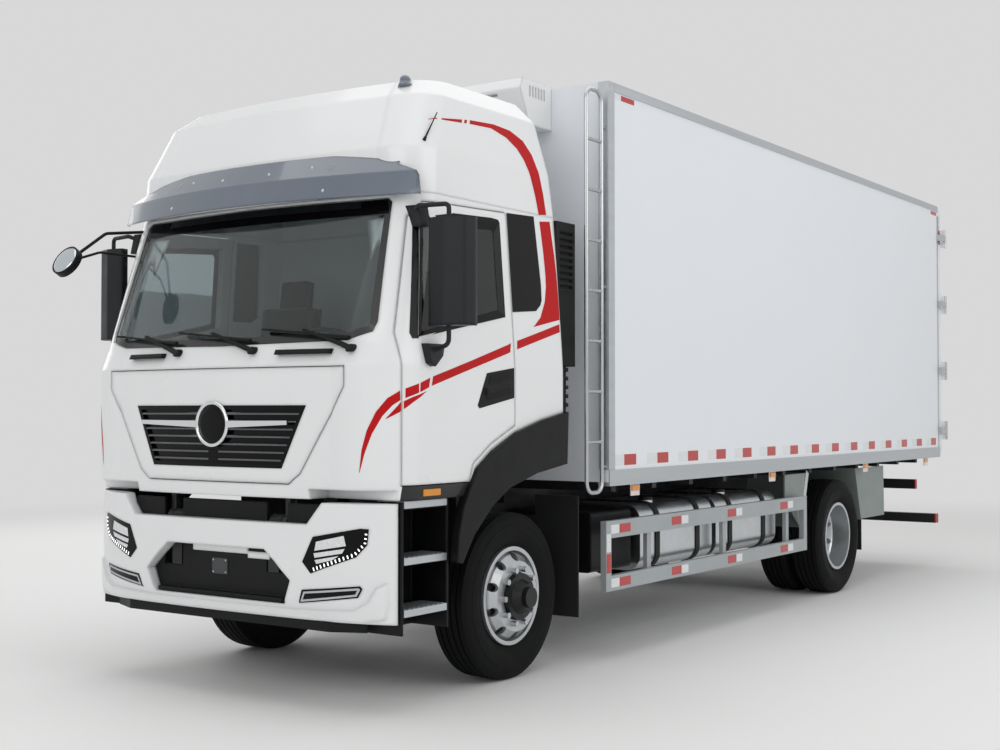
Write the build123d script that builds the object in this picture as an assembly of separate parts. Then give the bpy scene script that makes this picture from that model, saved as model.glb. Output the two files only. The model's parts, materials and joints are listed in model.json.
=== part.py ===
from build123d import *
import os
from math import cos, radians, sin

# Refrigerated box truck, two axles, forward-control tilting cab, left-hand drive.
# Millimetres. X points to the truck's left, Y to its rear, Z up, with the ground at z = 0.
# Everything is drawn with y = 0 at the front axle; save() moves the origin under the middle of the truck.

# Wheels and axles
wheelbase = 5000
tyre_radius = 506
tyre_width = 272
rim_flange_radius = 298
bead_radius = 286
front_wheel_x = 960          # middle of a front tyre
rear_outer_x = 1092          # middle of an outer rear tyre
twin_spacing = 316           # between the middles of twin tyres
kingpin_x = 800
axle_z = 506
stud_circle = 335
stud_count = 10
stud_radius = 11
hub_bore_radius = 140

# Ladder frame
frame_half = 430             # outer face of a rail
frame_depth = 270
frame_flange = 80
frame_plate = 8
frame_top = 1000
frame_front = -1240
frame_rear = 7600

# Load box
box_front = 794
box_length = 6977
box_half = 1295
box_top = 3781
box_bottom = 1141            # underside of the bottom rails
box_wall = 80
box_front_wall = 100
box_floor_depth = 110
box_roof_depth = 90
rail_height = 104            # bottom rail
rail_proud = 8               # rails and posts stand out from the panels
door_leaf = 85               # rear door thickness
door_seam = 12               # between the two rear doors, and round them
hinge_back = 32              # rear door hinge axis behind the box
hinge_radius = 13

# Cab
cab_floor = 1150             # underside
cab_floor_depth = 60
cab_wall = 60
cab_roof_z = 2840            # where the roof cap sits on the lower cab
tilt_y = -1300               # cab tilt axis
tilt_z = 1010
panel_gap = 6                # seams round doors and hatch
glass_depth = 6
glass_inset = 12             # glass lies this far inside the outer skin

# Bumper
bumper_front = -1440
bumper_low = 490
bumper_high = 1134

# Overall reach, used for the origin
mirror_reach_y = -1600       # front of the round mirror
rear_reach_y = box_front + box_length + hinge_back + hinge_radius
origin_y = (mirror_reach_y + rear_reach_y) / 2

# Derived places
box_rear = box_front + box_length
box_inner_half = box_half - box_wall
frame_low = frame_top - frame_depth
floor_low = box_bottom + 25
floor_high = floor_low + box_floor_depth

os.makedirs("parts", exist_ok=True)


def save(node, *shapes):
    solids = [solid for shape in shapes for solid in shape.solids()]
    whole = Compound(children=[Pos(0, -origin_y, 0) * solid for solid in solids])
    export_step(whole, os.path.join("parts", node + ".step"))


def block(x, y, z):
    """Box between two limits on each axis."""
    size = [high - low for low, high in (x, y, z)]
    middle = [(high + low) / 2 for low, high in (x, y, z)]
    return Pos(*middle) * Box(*size)


def prism_x(points, x, radius=0):
    """Outline in Y and Z, drawn out along X."""
    return _prism(Plane.YZ, points, x, radius)


def prism_y(points, y, radius=0):
    """Outline in X and Z, drawn out along Y."""
    plane = Plane(origin=(0, 0, 0), x_dir=(1, 0, 0), z_dir=(0, -1, 0))
    return _prism(plane, points, (-y[1], -y[0]), radius)


def prism_z(points, z, radius=0):
    """Outline in X and Y, drawn out along Z."""
    return _prism(Plane.XY, points, z, radius)


def _prism(plane, points, limits, radius):
    face = make_face(Polyline(*points, close=True))
    if radius:
        face = fillet(face.vertices(), radius)
    low, high = limits
    return extrude(plane.offset(low) * face, amount=high - low)


def rod(axis, radius, limits, across):
    """Cylinder along X, Y or Z between two limits; across gives its other two coordinates."""
    low, high = limits
    middle = (low + high) / 2
    if axis == "x":
        place = Pos(middle, *across) * Rot(0, 90, 0)
    elif axis == "y":
        place = Pos(across[0], middle, across[1]) * Rot(90, 0, 0)
    else:
        place = Pos(*across, middle)
    return place * Cylinder(radius, high - low)


def bent_tube(points, radius, bend):
    """Round tube through points with rounded corners."""
    path = FilletPolyline(*points, radius=bend) if len(points) > 2 else Polyline(*points)
    return sweep(Plane(path @ 0, z_dir=path % 0) * Circle(radius), path)


def flip(shape):
    return mirror(shape, about=Plane.YZ)


def pair(shape):
    return [shape, flip(shape)]


def mirrored(points):
    """Points of an outline's left half, then the right half back to the start."""
    return points + [(-x, z) for x, z in reversed(points) if x]


def fuse(first, *others):
    for other in others:
        first = first + other
    return first


# Ladder frame: two channel rails, cross members, bumper arms and the cab's tilt pivots
cross_members = (-1080, 1500, 2700, 3700, 4480, 5520, 6600, 7550)
cross_width = 90
pivot_radius = 42
pivot_pin_radius = 24
pivot_pin_length = 55
bumper_inner = bumper_front + 90     # flat inner face of the bumper
cab_rest_x = (442, 512)              # posts under the back of the cab
cab_rest_y = (190, 270)
cab_rest_z = 1570


def ladder_frame():
    inner = frame_half - frame_flange
    web = frame_half - frame_plate
    channel = [
        (frame_half, frame_low), (frame_half, frame_top), (inner, frame_top),
        (inner, frame_top - frame_plate), (web, frame_top - frame_plate),
        (web, frame_low + frame_plate), (inner, frame_low + frame_plate), (inner, frame_low),
    ]
    rail = prism_y(channel, (frame_front, frame_rear))
    arm = block((inner, frame_half), (bumper_inner, frame_front), (frame_low, frame_low + 120))
    cheek = prism_x(
        [(frame_front, frame_low), (frame_front, frame_top), (tilt_y - pivot_radius, tilt_z + 20),
         (tilt_y - pivot_radius, frame_low)],
        (inner, frame_half),
    )
    boss = rod("x", pivot_radius, (inner, frame_half + 8), (tilt_y, tilt_z))
    pin = rod("x", pivot_pin_radius, (frame_half, frame_half + pivot_pin_length), (tilt_y, tilt_z))
    rest_foot = block((frame_half, cab_rest_x[1]), cab_rest_y, (frame_low + 60, frame_top))
    rest_post = block(cab_rest_x, cab_rest_y, (frame_low + 60, cab_rest_z))
    side = fuse(rail, arm, cheek, boss, pin, rest_foot, rest_post)
    frame = fuse(side, flip(side))
    for y in cross_members:
        beam = block((-web, web), (y - cross_width / 2, y + cross_width / 2), (frame_low + 60,
                                                                               frame_top - 40))
        hollow = block((-web, web), (y - cross_width / 2 + 8, y + cross_width / 2),
                       (frame_low + 68, frame_top - 48))
        frame = frame + (beam - hollow)
    return frame


# Axles, springs and drive line
spring_x = 385
spring_half_width = 38
spring_leaf = 16
front_spring = {"reach": 780, "seat_z": axle_z + 62, "leaves": 3, "sag": 70}
rear_spring = {"reach": 800, "seat_z": axle_z + 110, "leaves": 5, "sag": 60}
rear_track_inner = rear_outer_x - twin_spacing - tyre_width / 2


def front_axle_beam():
    drop = axle_z - 95
    eye_x = kingpin_x - 30
    outline = mirrored([
        (0, drop - 50), (360, drop - 50), (560, axle_z - 60), (eye_x, axle_z - 60),
        (eye_x, axle_z + 60), (540, axle_z + 50), (470, front_spring["seat_z"]),
        (300, front_spring["seat_z"]), (240, drop + 50), (0, drop + 50),
    ])
    beam = prism_y(outline, (-55, 55))
    eye = rod("z", 48, (axle_z - 60, axle_z + 60), (kingpin_x, 0))
    eye_link = block((eye_x - 20, kingpin_x), (-40, 40), (axle_z - 60, axle_z + 60))
    kingpin = rod("z", 20, (axle_z - 112, axle_z + 112), (kingpin_x, 0))
    side = fuse(eye, eye_link, kingpin)
    return fuse(beam, side, flip(side))


def leaf_spring(y, spec, tip_z):
    """One stack of leaves, longest on top, arched between the frame hangers at its ends."""
    stack = None
    for leaf in range(spec["leaves"]):
        reach = spec["reach"] * (1 - 0.17 * leaf)
        rise = (tip_z - spec["seat_z"]) * (reach / spec["reach"]) ** 2
        low = spec["seat_z"] + (spec["leaves"] - 1 - leaf) * spring_leaf
        middle = (y, low)
        ends = [(y - reach, low + rise), (y + reach, low + rise)]
        upper = [(end_y, end_z + spring_leaf) for end_y, end_z in ends]
        line = ThreePointArc(ends[0], middle, ends[1]) + Line(ends[1], upper[1])
        line += ThreePointArc(upper[1], (y, low + spring_leaf), upper[0]) + Line(upper[0], ends[0])
        face = make_face(line)
        solid = extrude(Plane.YZ.offset(spring_x - spring_half_width) * face, amount=2 * spring_half_width)
        stack = solid if stack is None else stack + solid
    for end in (-1, 1):
        top_z = tip_z + (spec["leaves"] - 1) * spring_leaf
        hanger = block(
            (spring_x - spring_half_width, spring_x + spring_half_width),
            (y + end * spec["reach"] - 45, y + end * spec["reach"] + 45), (top_z - 20, frame_low),
        )
        stack = stack + hanger
    saddle_top = spec["seat_z"] + spec["leaves"] * spring_leaf
    clamp = block(
        (spring_x - spring_half_width - 14, spring_x + spring_half_width + 14), (y - 70, y + 70),
        (spec["seat_z"], saddle_top + 16),
    )
    return stack + clamp


def leaf_springs():
    front = leaf_spring(0, front_spring, front_spring["seat_z"] + front_spring["sag"])
    rear = leaf_spring(wheelbase, rear_spring, rear_spring["seat_z"] + rear_spring["sag"] - 55)
    return pair(front) + pair(rear)


def rear_axle():
    pan = Pos(0, wheelbase, axle_z) * Rot(90, 0, 0) * Cylinder(225, 150)
    cover = Pos(0, wheelbase + 75, axle_z) * Sphere(190)
    nose = Pos(0, wheelbase - 190, axle_z) * Rot(90, 0, 0) * Cone(120, 75, 300)
    casing = rod("x", 68, (-rear_track_inner + 20, rear_track_inner - 20), (wheelbase, axle_z))
    seat = block(
        (spring_x - 60, spring_x + 60), (wheelbase - 75, wheelbase + 75), (axle_z, rear_spring["seat_z"]),
    )
    spindle = rod("x", 45, (rear_track_inner - 20, rear_outer_x - 60), (wheelbase, axle_z))
    side = fuse(seat, spindle)
    return fuse(casing, pan, cover, nose, side, flip(side))


engine = {"y": (-640, 480), "half": 330, "z": (640, 1330)}
gearbox_end = 1320
drive_z = 720
shaft_radius = 52


def power_unit():
    y, z = engine["y"], engine["z"]
    body = prism_y(mirrored([(0, z[0]), (230, z[0]), (engine["half"], z[0] + 190),
                             (engine["half"], z[1] - 90),
                             (250, z[1]), (0, z[1])]), y)
    bell = Pos(0, y[1] + 110, drive_z + 60) * Rot(-90, 0, 0) * Cone(255, 190, 220)
    case = block((-190, 190), (y[1] + 200, gearbox_end - 120), (drive_z - 170, drive_z + 200))
    tail = rod("y", 95, (gearbox_end - 140, gearbox_end), (0, drive_z))
    fan_shroud = Pos(0, y[0] - 60, 900) * Rot(90, 0, 0) * Cylinder(300, 140)
    radiator = block((-340, 340), (y[0] - 240, y[0] - 120), (560, 1220))
    mount = block((-frame_half + frame_plate, frame_half - frame_plate), (y[0] + 60, y[0] + 160), (780, 860))
    rear_mount = block((-frame_half + frame_plate, frame_half - frame_plate), (y[1] + 240, y[1] + 320),
                       (760, 830))
    return fuse(body, bell, case, tail, fan_shroud, radiator, mount, rear_mount)


def propeller_shaft():
    end_y = wheelbase - 190 - 150
    start = (0, gearbox_end, drive_z)
    end = (0, end_y, axle_z)
    lead = 60
    before = (0, gearbox_end - lead, drive_z + lead * (drive_z - axle_z) / (end_y - gearbox_end))
    after = (0, end_y + lead, axle_z - lead * (drive_z - axle_z) / (end_y - gearbox_end))
    shaft = bent_tube([before, after], shaft_radius, 0)
    return shaft & block((-100, 100), (start[1], end[1]), (0, frame_top))


save("ladder_frame", ladder_frame())
save("front_axle_beam", front_axle_beam())
save("leaf_springs", *leaf_springs())
save("rear_axle", rear_axle())
save("power_unit", power_unit())
save("propeller_shaft", propeller_shaft())


# Wheels: each profile is drawn as (along the axle, radius) from the rim's middle, then turned about the axle
rim_half = 108
rim_plate = 12
disc_plate = 14
disc_offset = 158                    # from the rim's middle to the mounting face
hand_hole_radius = 27
hand_hole_circle = 478
nut_radius = 17
nut_height = 34
spindle_radius = 45
bearing_gap = 0.3


def turned(points, x):
    face = make_face(Polyline(*points, close=True))
    return Pos(x, 0, 0) * revolve(Plane.XY * face, Axis.X)


def tyre(x, y):
    half = tyre_width / 2
    bead_half = rim_half - 14
    line = Line((-bead_half, bead_radius), (bead_half, bead_radius))
    line += Line((bead_half, bead_radius), (bead_half, rim_flange_radius + 6))
    line += ThreePointArc((bead_half, rim_flange_radius + 6), (half, 395), (half - 12, tyre_radius - 26))
    line += Line((half - 12, tyre_radius - 26), (half - 30, tyre_radius - 4))
    line += ThreePointArc((half - 30, tyre_radius - 4), (0, tyre_radius), (30 - half, tyre_radius - 4))
    line += Line((30 - half, tyre_radius - 4), (12 - half, tyre_radius - 26))
    line += ThreePointArc((12 - half, tyre_radius - 26), (-half, 395), (-bead_half, rim_flange_radius + 6))
    line += Line((-bead_half, rim_flange_radius + 6), (-bead_half, bead_radius))
    return Pos(x, y, axle_z) * revolve(make_face(line), Axis.X)


def rim(x, y, outward):
    """Barrel and pressed disc; outward is 1 where the disc stands out to the left of the rim's middle."""
    inner = bead_radius - rim_plate
    barrel = turned([
        (-rim_half - 10, inner), (rim_half + 10, inner), (rim_half + 10, rim_flange_radius),
        (rim_half - 14, rim_flange_radius), (rim_half - 14, bead_radius), (14 - rim_half, bead_radius),
        (14 - rim_half, rim_flange_radius), (-rim_half - 10, rim_flange_radius),
    ], 0)
    face = disc_offset
    back = disc_offset - disc_plate
    disc = turned([
        (40, inner), (40, inner + 6), (62, inner + 6), (face - 36, 252), (face, 212), (face, hub_bore_radius),
        (back, hub_bore_radius), (back, 206), (face - 54, 238), (52, inner - 12),
    ], 0)
    holes = [Rot(360 * i / stud_count, 0, 0) * rod("x", hand_hole_radius, (0, 2 * face),
                                                   (0, hand_hole_circle / 2))
             for i in range(stud_count)]
    whole = barrel + (disc - holes)
    if outward < 0:
        whole = mirror(whole, about=Plane.YZ)
    return Pos(x, y, axle_z) * whole


def nuts(x, y, outward):
    places = [Rot(360 * (i + 0.5) / stud_count, 0, 0) for i in range(stud_count)]
    nut = rod("x", nut_radius, sorted((0, outward * nut_height)), (0, stud_circle / 2))
    return [Pos(x, y, axle_z) * place * nut for place in places]


def front_wheel():
    face = front_wheel_x + disc_offset
    hub = rod("x", hub_bore_radius, (front_wheel_x - 70, face + 30), (0, axle_z))
    cap = Pos(face + 55, 0, axle_z) * Rot(0, 90, 0) * Cone(105, 78, 50)
    end_cap = rod("x", 62, (face + 80, face + 104), (0, axle_z))
    drum = rod("x", 208, (front_wheel_x - 80, front_wheel_x + 90), (0, axle_z))
    drum_room = rod("x", 190, (front_wheel_x - 80, front_wheel_x - 40), (0, axle_z))
    bore = rod("x", spindle_radius + bearing_gap, (front_wheel_x - 80, face - 20), (0, axle_z))
    turning = fuse(rim(front_wheel_x, 0, 1), drum - drum_room, hub, cap, end_cap, *nuts(face, 0, 1))
    return turning - bore


def rear_wheel():
    inner_x = rear_outer_x - twin_spacing
    face = rear_outer_x - disc_offset
    hub = rod("x", hub_bore_radius, (face - 90, face + 70), (wheelbase, axle_z))
    cap = Pos(face + 100, wheelbase, axle_z) * Rot(0, 90, 0) * Cone(118, 96, 60)
    drum = rod("x", 205, (inner_x - 90, face - 20), (wheelbase, axle_z))
    drum_room = rod("x", 185, (inner_x - 90, inner_x + 60), (wheelbase, axle_z))
    bore = rod("x", spindle_radius + bearing_gap, (inner_x - 90, rear_outer_x - 50), (wheelbase, axle_z))
    outer_rim = rim(rear_outer_x, wheelbase, -1)
    inner_rim = rim(inner_x, wheelbase, 1)
    turning = fuse(outer_rim, inner_rim, hub, cap, drum - drum_room, *nuts(face + disc_plate, wheelbase, 1))
    return turning - bore


# Steering: knuckle on its kingpin, arm to the rear, tie rod under the arms
arm_reach = 230
arm_z = axle_z - 96
tie_z = arm_z - 46
ball_radius = 26
ball_pin_radius = 11


def knuckle():
    yoke_reach = 52
    lower = block((kingpin_x - 48, kingpin_x + 80), (-yoke_reach, yoke_reach), (axle_z - 112, axle_z - 64))
    upper = block((kingpin_x - 48, kingpin_x + 80), (-yoke_reach, yoke_reach), (axle_z + 64, axle_z + 112))
    web = block((kingpin_x + 55, kingpin_x + 80), (-yoke_reach, yoke_reach), (axle_z - 112, axle_z + 112))
    spindle = rod("x", spindle_radius, (kingpin_x + 60, front_wheel_x + disc_offset - 30), (0, axle_z))
    arm = prism_z(
        [(kingpin_x - 40, 0), (kingpin_x + 40, 0), (kingpin_x + 22, arm_reach),
         (kingpin_x - 22, arm_reach)], (arm_z - 16, arm_z + 16),
    )
    eye = rod("z", ball_radius, (arm_z - 16, arm_z + 16), (kingpin_x, arm_reach))
    ball_pin = rod("z", ball_pin_radius, (tie_z - 24, arm_z), (kingpin_x, arm_reach))
    bore = rod("z", 20 + bearing_gap, (axle_z - 130, axle_z + 130), (kingpin_x, 0))
    return fuse(lower, upper, web, spindle, arm, eye, ball_pin) - bore


def tie_rod():
    end_x = kingpin_x
    bar = rod("x", 19, (-end_x, end_x), (arm_reach, tie_z))
    end = rod("z", ball_radius, (tie_z - 24, tie_z + 24), (end_x, arm_reach))
    bore = rod("z", ball_pin_radius + bearing_gap, (tie_z - 30, tie_z + 30), (end_x, arm_reach))
    return fuse(bar, end, flip(end)) - bore - flip(bore)


save("knuckle_left", knuckle())
save("knuckle_right", flip(knuckle()))
save("tie_rod", tie_rod())
front, rear = front_wheel(), rear_wheel()
save("rim_front_left", front)
save("rim_front_right", flip(front))
save("rims_rear_left", rear)
save("rims_rear_right", flip(rear))
for side, turn in (("left", 1), ("right", -1)):
    save("tyre_front_" + side, tyre(turn * front_wheel_x, 0))
    save("tyres_rear_" + side, *[tyre(turn * (rear_outer_x - i * twin_spacing), wheelbase) for i in (0, 1)])


# Load box: insulated panels between metal rails, on a subframe
sub_top = frame_top + 95             # top of the long bearers, under the cross bearers
bearer_pitch = 560
bearer_half = 30
portal_depth = 60                    # rear portal, inside the doors
portal_post = 70
top_rail_height = 57
front_post = 70
rail_seam = 2
doors_front = box_rear - door_leaf
portal_front = doors_front - portal_depth
box_ceiling = box_top - box_roof_depth


def box_subframe():
    inner = frame_half - frame_flange
    long_bearer = block((inner, frame_half), (box_front + 60, frame_rear), (frame_top, sub_top))
    frame = fuse(long_bearer, flip(long_bearer))
    count = int((box_length - 400) // bearer_pitch) + 1
    for i in range(count):
        y = box_front + 200 + i * bearer_pitch
        cross = block((-box_inner_half, box_inner_half), (y - bearer_half, y + bearer_half),
                      (sub_top, floor_low))
        frame = frame + cross
    return frame


def box_rails():
    flange_in = box_half - box_wall
    outer = box_half + rail_proud
    bottom = prism_y(
        [(flange_in, box_bottom), (outer, box_bottom), (outer, box_bottom + rail_height),
         (box_half, box_bottom + rail_height), (box_half, floor_low), (flange_in, floor_low)],
        (box_front, box_rear - door_leaf - door_seam),
    )
    top = block((box_half, outer), (box_front + front_post + rail_seam, portal_front),
                (box_top - top_rail_height, box_top))
    post = prism_z(
        [(box_half - front_post, box_front - rail_proud), (outer, box_front - rail_proud),
         (outer, box_front + front_post), (box_half, box_front + front_post), (box_half, box_front),
         (box_half - front_post, box_front)],
        (box_bottom + rail_height + rail_seam, box_top),
    )
    return pair(bottom) + pair(top) + pair(post)


def box_rear_frame():
    whole = block((-box_half, box_half), (portal_front, doors_front - door_seam), (floor_low, box_top))
    inner_half = box_half - box_wall - portal_post
    opening = block((-inner_half, inner_half), (portal_front - 1, doors_front),
                    (floor_high, box_ceiling - 40))
    frame = whole - opening
    for z in hinge_heights:
        leaf = block((box_half - 40, hinge_x), (doors_front - door_seam - 40, doors_front - door_seam),
                     (z - hinge_half, z + hinge_half))
        arm = block((hinge_x - 9, hinge_x + 9), (doors_front - door_seam - 40, hinge_y),
                    (z - hinge_half, z + hinge_half))
        knuckle_part = rod("z", hinge_radius, (z - hinge_half, z + hinge_half), (hinge_x, hinge_y))
        side = fuse(leaf, arm, knuckle_part)
        frame = fuse(frame, side, flip(side))
    return frame


# Rear doors fold right round to the box's sides on hinges that stand out from its corners
hinge_x = box_half + 34
hinge_y = box_rear + hinge_back
hinge_half = 32
hinge_heights = (1420, 2050, 2750, 3450)
lock_rod_radius = 14
lock_rod_places = (230, 640)
lock_rod_off = 24
rear_door_low = floor_low + 8
rear_door_high = box_top - 12


def rear_door():
    leaf = block((door_seam / 2, box_half - 6), (doors_front, box_rear), (rear_door_low, rear_door_high))
    door = leaf
    for x in lock_rod_places:
        bar = rod("z", lock_rod_radius, (rear_door_low - 6, rear_door_high - 10),
                  (x, box_rear + lock_rod_off))
        door = door + bar
        for z in (rear_door_low + 30, 1900, 2900, rear_door_high - 60):
            keeper = block((x - 34, x + 34), (box_rear, box_rear + lock_rod_off + 10), (z - 28, z + 28))
            door = door + keeper
        handle = block((x + 10, x + 330), (box_rear + lock_rod_off - 6, box_rear + lock_rod_off + 8),
                       (1640, 1668))
        catch = block((x + 290, x + 335), (box_rear, box_rear + lock_rod_off + 12), (1625, 1683))
        door = fuse(door, handle, catch)
    gap = bearing_gap
    strap_reach = 260
    for z in hinge_heights:
        for low, high in ((z - 3 * hinge_half, z - hinge_half - gap), (z + hinge_half + gap,
                                                                       z + 3 * hinge_half)):
            strap = block((hinge_x - strap_reach, hinge_x), (box_rear, box_rear + 12), (low, high))
            lug = block((hinge_x - hinge_radius, hinge_x), (box_rear, hinge_y), (low, high))
            knuckle_part = rod("z", hinge_radius, (low, high), (hinge_x, hinge_y))
            door = fuse(door, strap, lug, knuckle_part)
    return door


# Cooling unit on the front wall, above the cab
unit = {"half": 860, "y": 415, "low": 3500, "high": 3797}
unit_vents = {"columns": (-520, 0, 520), "width": 300, "rows": 4, "pitch": 34, "height": 14, "depth": 14}
unit_slots = {"count": 6, "pitch": 34, "width": 12, "height": 70}


def cooling_unit():
    y, low, high = unit["y"], unit["low"], unit["high"]
    profile = [(box_front, low), (y + 110, low), (y, high - 70), (y + 30, high), (box_front, high)]
    body = prism_x(profile, (-unit["half"], unit["half"]))
    first_z = high - 70 - unit_vents["rows"] * unit_vents["pitch"]
    for x in unit_vents["columns"]:
        for row in range(unit_vents["rows"]):
            z = first_z + row * unit_vents["pitch"]
            across = (x - unit_vents["width"] / 2, x + unit_vents["width"] / 2)
            body = body - block(across, (y - 1, y + 60), (z, z + unit_vents["height"]))
    for end in (-1, 1):
        x = sorted((end * unit["half"] * 1.01, end * (unit["half"] - unit_vents["depth"])))
        for i in range(unit_slots["count"]):
            from_y = y + 110 + i * unit_slots["pitch"]
            body = body - block(x, (from_y, from_y + unit_slots["width"]),
                                (high - 40 - unit_slots["height"], high - 40))
    return body


# Ladder ahead of the box's left front corner, rungs along Y
ladder_x = box_half - 25
ladder_y = (box_front - 235, box_front - 45)
ladder_z = (1105, 3700)
ladder_tube = 14
rung_count = 7
ladder_bend = 70


def ladder():
    middle = sum(ladder_y) / 2
    low, high = ladder_z
    whole = None
    for y in ladder_y:
        points = [(ladder_x, middle, low), (ladder_x, y, low), (ladder_x, y, high), (ladder_x, middle, high)]
        half = bent_tube(points, ladder_tube, ladder_bend)
        whole = half if whole is None else whole + half
    pitch = (high - low) / (rung_count + 1)
    for i in range(rung_count):
        z = low + (i + 1) * pitch
        whole = whole + rod("y", ladder_tube - 2, ladder_y, (ladder_x, z))
    for i in (0.5, rung_count / 2 + 0.6, rung_count + 0.3):
        z = low + i * pitch
        whole = whole + rod("y", ladder_tube - 4, (ladder_y[1], box_front - rail_proud), (ladder_x, z))
    return whole


save("box_subframe", box_subframe())
save("box_floor", block((-box_inner_half, box_inner_half), (box_front + box_front_wall, portal_front),
                        (floor_low, floor_high)))
save("box_front_wall", block((-box_half, box_half), (box_front, box_front + box_front_wall),
                             (floor_low, box_ceiling)))
side_wall = block((box_inner_half, box_half), (box_front + box_front_wall, portal_front),
                  (floor_low, box_ceiling))
save("box_side_walls", *pair(side_wall))
save("box_roof", block((-box_half, box_half), (box_front, portal_front), (box_ceiling, box_top)))
save("box_rails", *box_rails())
save("box_rear_frame", box_rear_frame())
door = rear_door()
save("rear_door_left", door)
save("rear_door_right", flip(door))
save("cooling_unit", cooling_unit())
save("ladder", ladder())


# Chassis fittings along the sides
tank = {"x": (470, 1150), "z": (519, 977), "radius": 110, "strap": 8, "strap_half": 30}
tank_runs = ((1469, 2580), (2650, 3759))
guard_x = (1238, 1280)
guard_y = (box_front - 8, 4116)
guard_arms = (1435, 2615, 3800)
guard_high = (800, 912)
guard_low = (457, 556)


def fuel_tanks():
    x, z = tank["x"], tank["z"]
    grow = tank["strap"]
    tanks = []
    for run in tank_runs:
        corners = [(x[0], z[0]), (x[1], z[0]), (x[1], z[1]), (x[0], z[1])]
        whole = prism_y(corners, run, tank["radius"])
        belt_corners = [(x[0] - grow, z[0] - grow), (x[1] + grow, z[0] - grow), (x[1] + grow, z[1] + grow),
                        (x[0] - grow, z[1] + grow)]
        for share in (0.22, 0.78):
            y = run[0] + share * (run[1] - run[0])
            limits = (y - tank["strap_half"], y + tank["strap_half"])
            belt = prism_y(belt_corners, limits, tank["radius"] + grow)
            bracket = prism_y([(frame_half, z[0] + 120), (x[0] + 20, z[0] + 120), (x[0] + 20, z[1] - 120),
                               (frame_half, z[1] - 60)], limits)
            whole = fuse(whole, belt, bracket)
        neck = Pos(x[1] - 140, run[0] + 330, z[1]) * Cylinder(52, 70)
        tanks.append(whole + neck)
    return tanks


def hung_box(x, y, z, radius):
    body = prism_y([(x[0], z[0]), (x[1], z[0]), (x[1], z[1]), (x[0], z[1])], y, radius)
    for share in (0.2, 0.8):
        middle = y[0] + share * (y[1] - y[0])
        bracket = block((frame_half, x[0] + 10), (middle - 35, middle + 35), (frame_low + 30,
                                                                              min(z[1], frame_top) - 50))
        body = body + bracket
    return body


def air_reservoirs():
    whole = None
    for x in (580, 840):
        shell = rod("y", 118, (2720, 3640), (x, 760))
        whole = shell if whole is None else whole + shell
    for y in (2900, 3460):
        whole = whole + block((frame_half, 960), (y - 30, y + 30), (735, 785))
    return flip(whole)


def side_guard():
    upper = block(guard_x, guard_y, guard_high)
    lower = block(guard_x, guard_y, guard_low)
    front_bar = block(guard_x, (guard_y[0], guard_y[0] + 66), (guard_low[0], guard_high[1]))
    rear_bar = block(guard_x, (guard_y[1] - 66, guard_y[1]), (guard_low[0], guard_high[1]))
    guard = fuse(upper, lower, front_bar, rear_bar)
    for y in guard_arms:
        arm = block((frame_half, guard_x[0]), (y - 28, y + 28), (800, 860))
        leg = block((guard_x[0] - 30, guard_x[0]), (y - 28, y + 28), (guard_low[0], 860))
        guard = fuse(guard, arm, leg)
    return guard


guard_sheet = 12
sheet_x = (1190, 1202)
sheet_inner = 660


def rear_mudguard():
    ahead = [(3840, sub_top), (3840, 900), (4165, 637), (4326, sub_top)]
    behind = [(5453, sub_top), (5601, 620), (6231, 620), (6212, sub_top)]
    front_plate = prism_x(ahead, sheet_x)
    rear_plate = prism_x(behind, sheet_x)
    slant = prism_x([(4165, 637), (4165 + guard_sheet, 637), (4326 + guard_sheet, sub_top), (4326, sub_top)],
                    (sheet_inner, sheet_x[1]))
    back = prism_x([(5453, sub_top), (5601, 620), (5601, 330), (5601 + guard_sheet, 330),
                    (5601 + guard_sheet, 620), (5453 + guard_sheet, sub_top)], (sheet_inner, sheet_x[1]))
    return [fuse(front_plate, slant), fuse(rear_plate, back)]


flap_y = (648, 660)


def front_flap():
    sheet = block((820, 1150), flap_y, (300, 1080))
    arm = block((frame_half, 840), flap_y, (880, 940))
    return fuse(sheet, arm)


bar_y = (7590, 7680)
lamp_bar_z = (800, 900)


def underride_guard():
    bar = block((-1275, 1275), bar_y, (452, 545))
    lamp_bar = block((-1060, 1060), (frame_rear, frame_rear + 50), lamp_bar_z)
    hanger = prism_x(
        [(frame_rear - 330, frame_low), (frame_rear + 50, frame_low), (bar_y[0] + 40, 545), (bar_y[0], 452),
         (bar_y[0] - 110, 480)],
        (frame_half - 45, frame_half),
    )
    return fuse(bar, lamp_bar, block((-frame_half, frame_half), (frame_rear, frame_rear + 50), (700, 800)),
                hanger, flip(hanger))


def tail_lamps():
    lamp = block((560, 1030), (frame_rear + 50, frame_rear + 85), (lamp_bar_z[0] + 5, lamp_bar_z[1] - 5))
    return pair(lamp)


save("fuel_tanks", *fuel_tanks())
save("battery_box", hung_box((470, 1120), (860, 1390), (560, 960), 30))
save("exhaust_box", flip(hung_box((470, 1160), (1480, 2570), (500, 960), 60)))
save("air_reservoirs", air_reservoirs())
save("side_guards", *pair(side_guard()))
save("mudguards", *[flap for part in rear_mudguard() + [front_flap()] for flap in pair(part)])
save("underride_guard", underride_guard())
save("tail_lamps", *tail_lamps())


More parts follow.
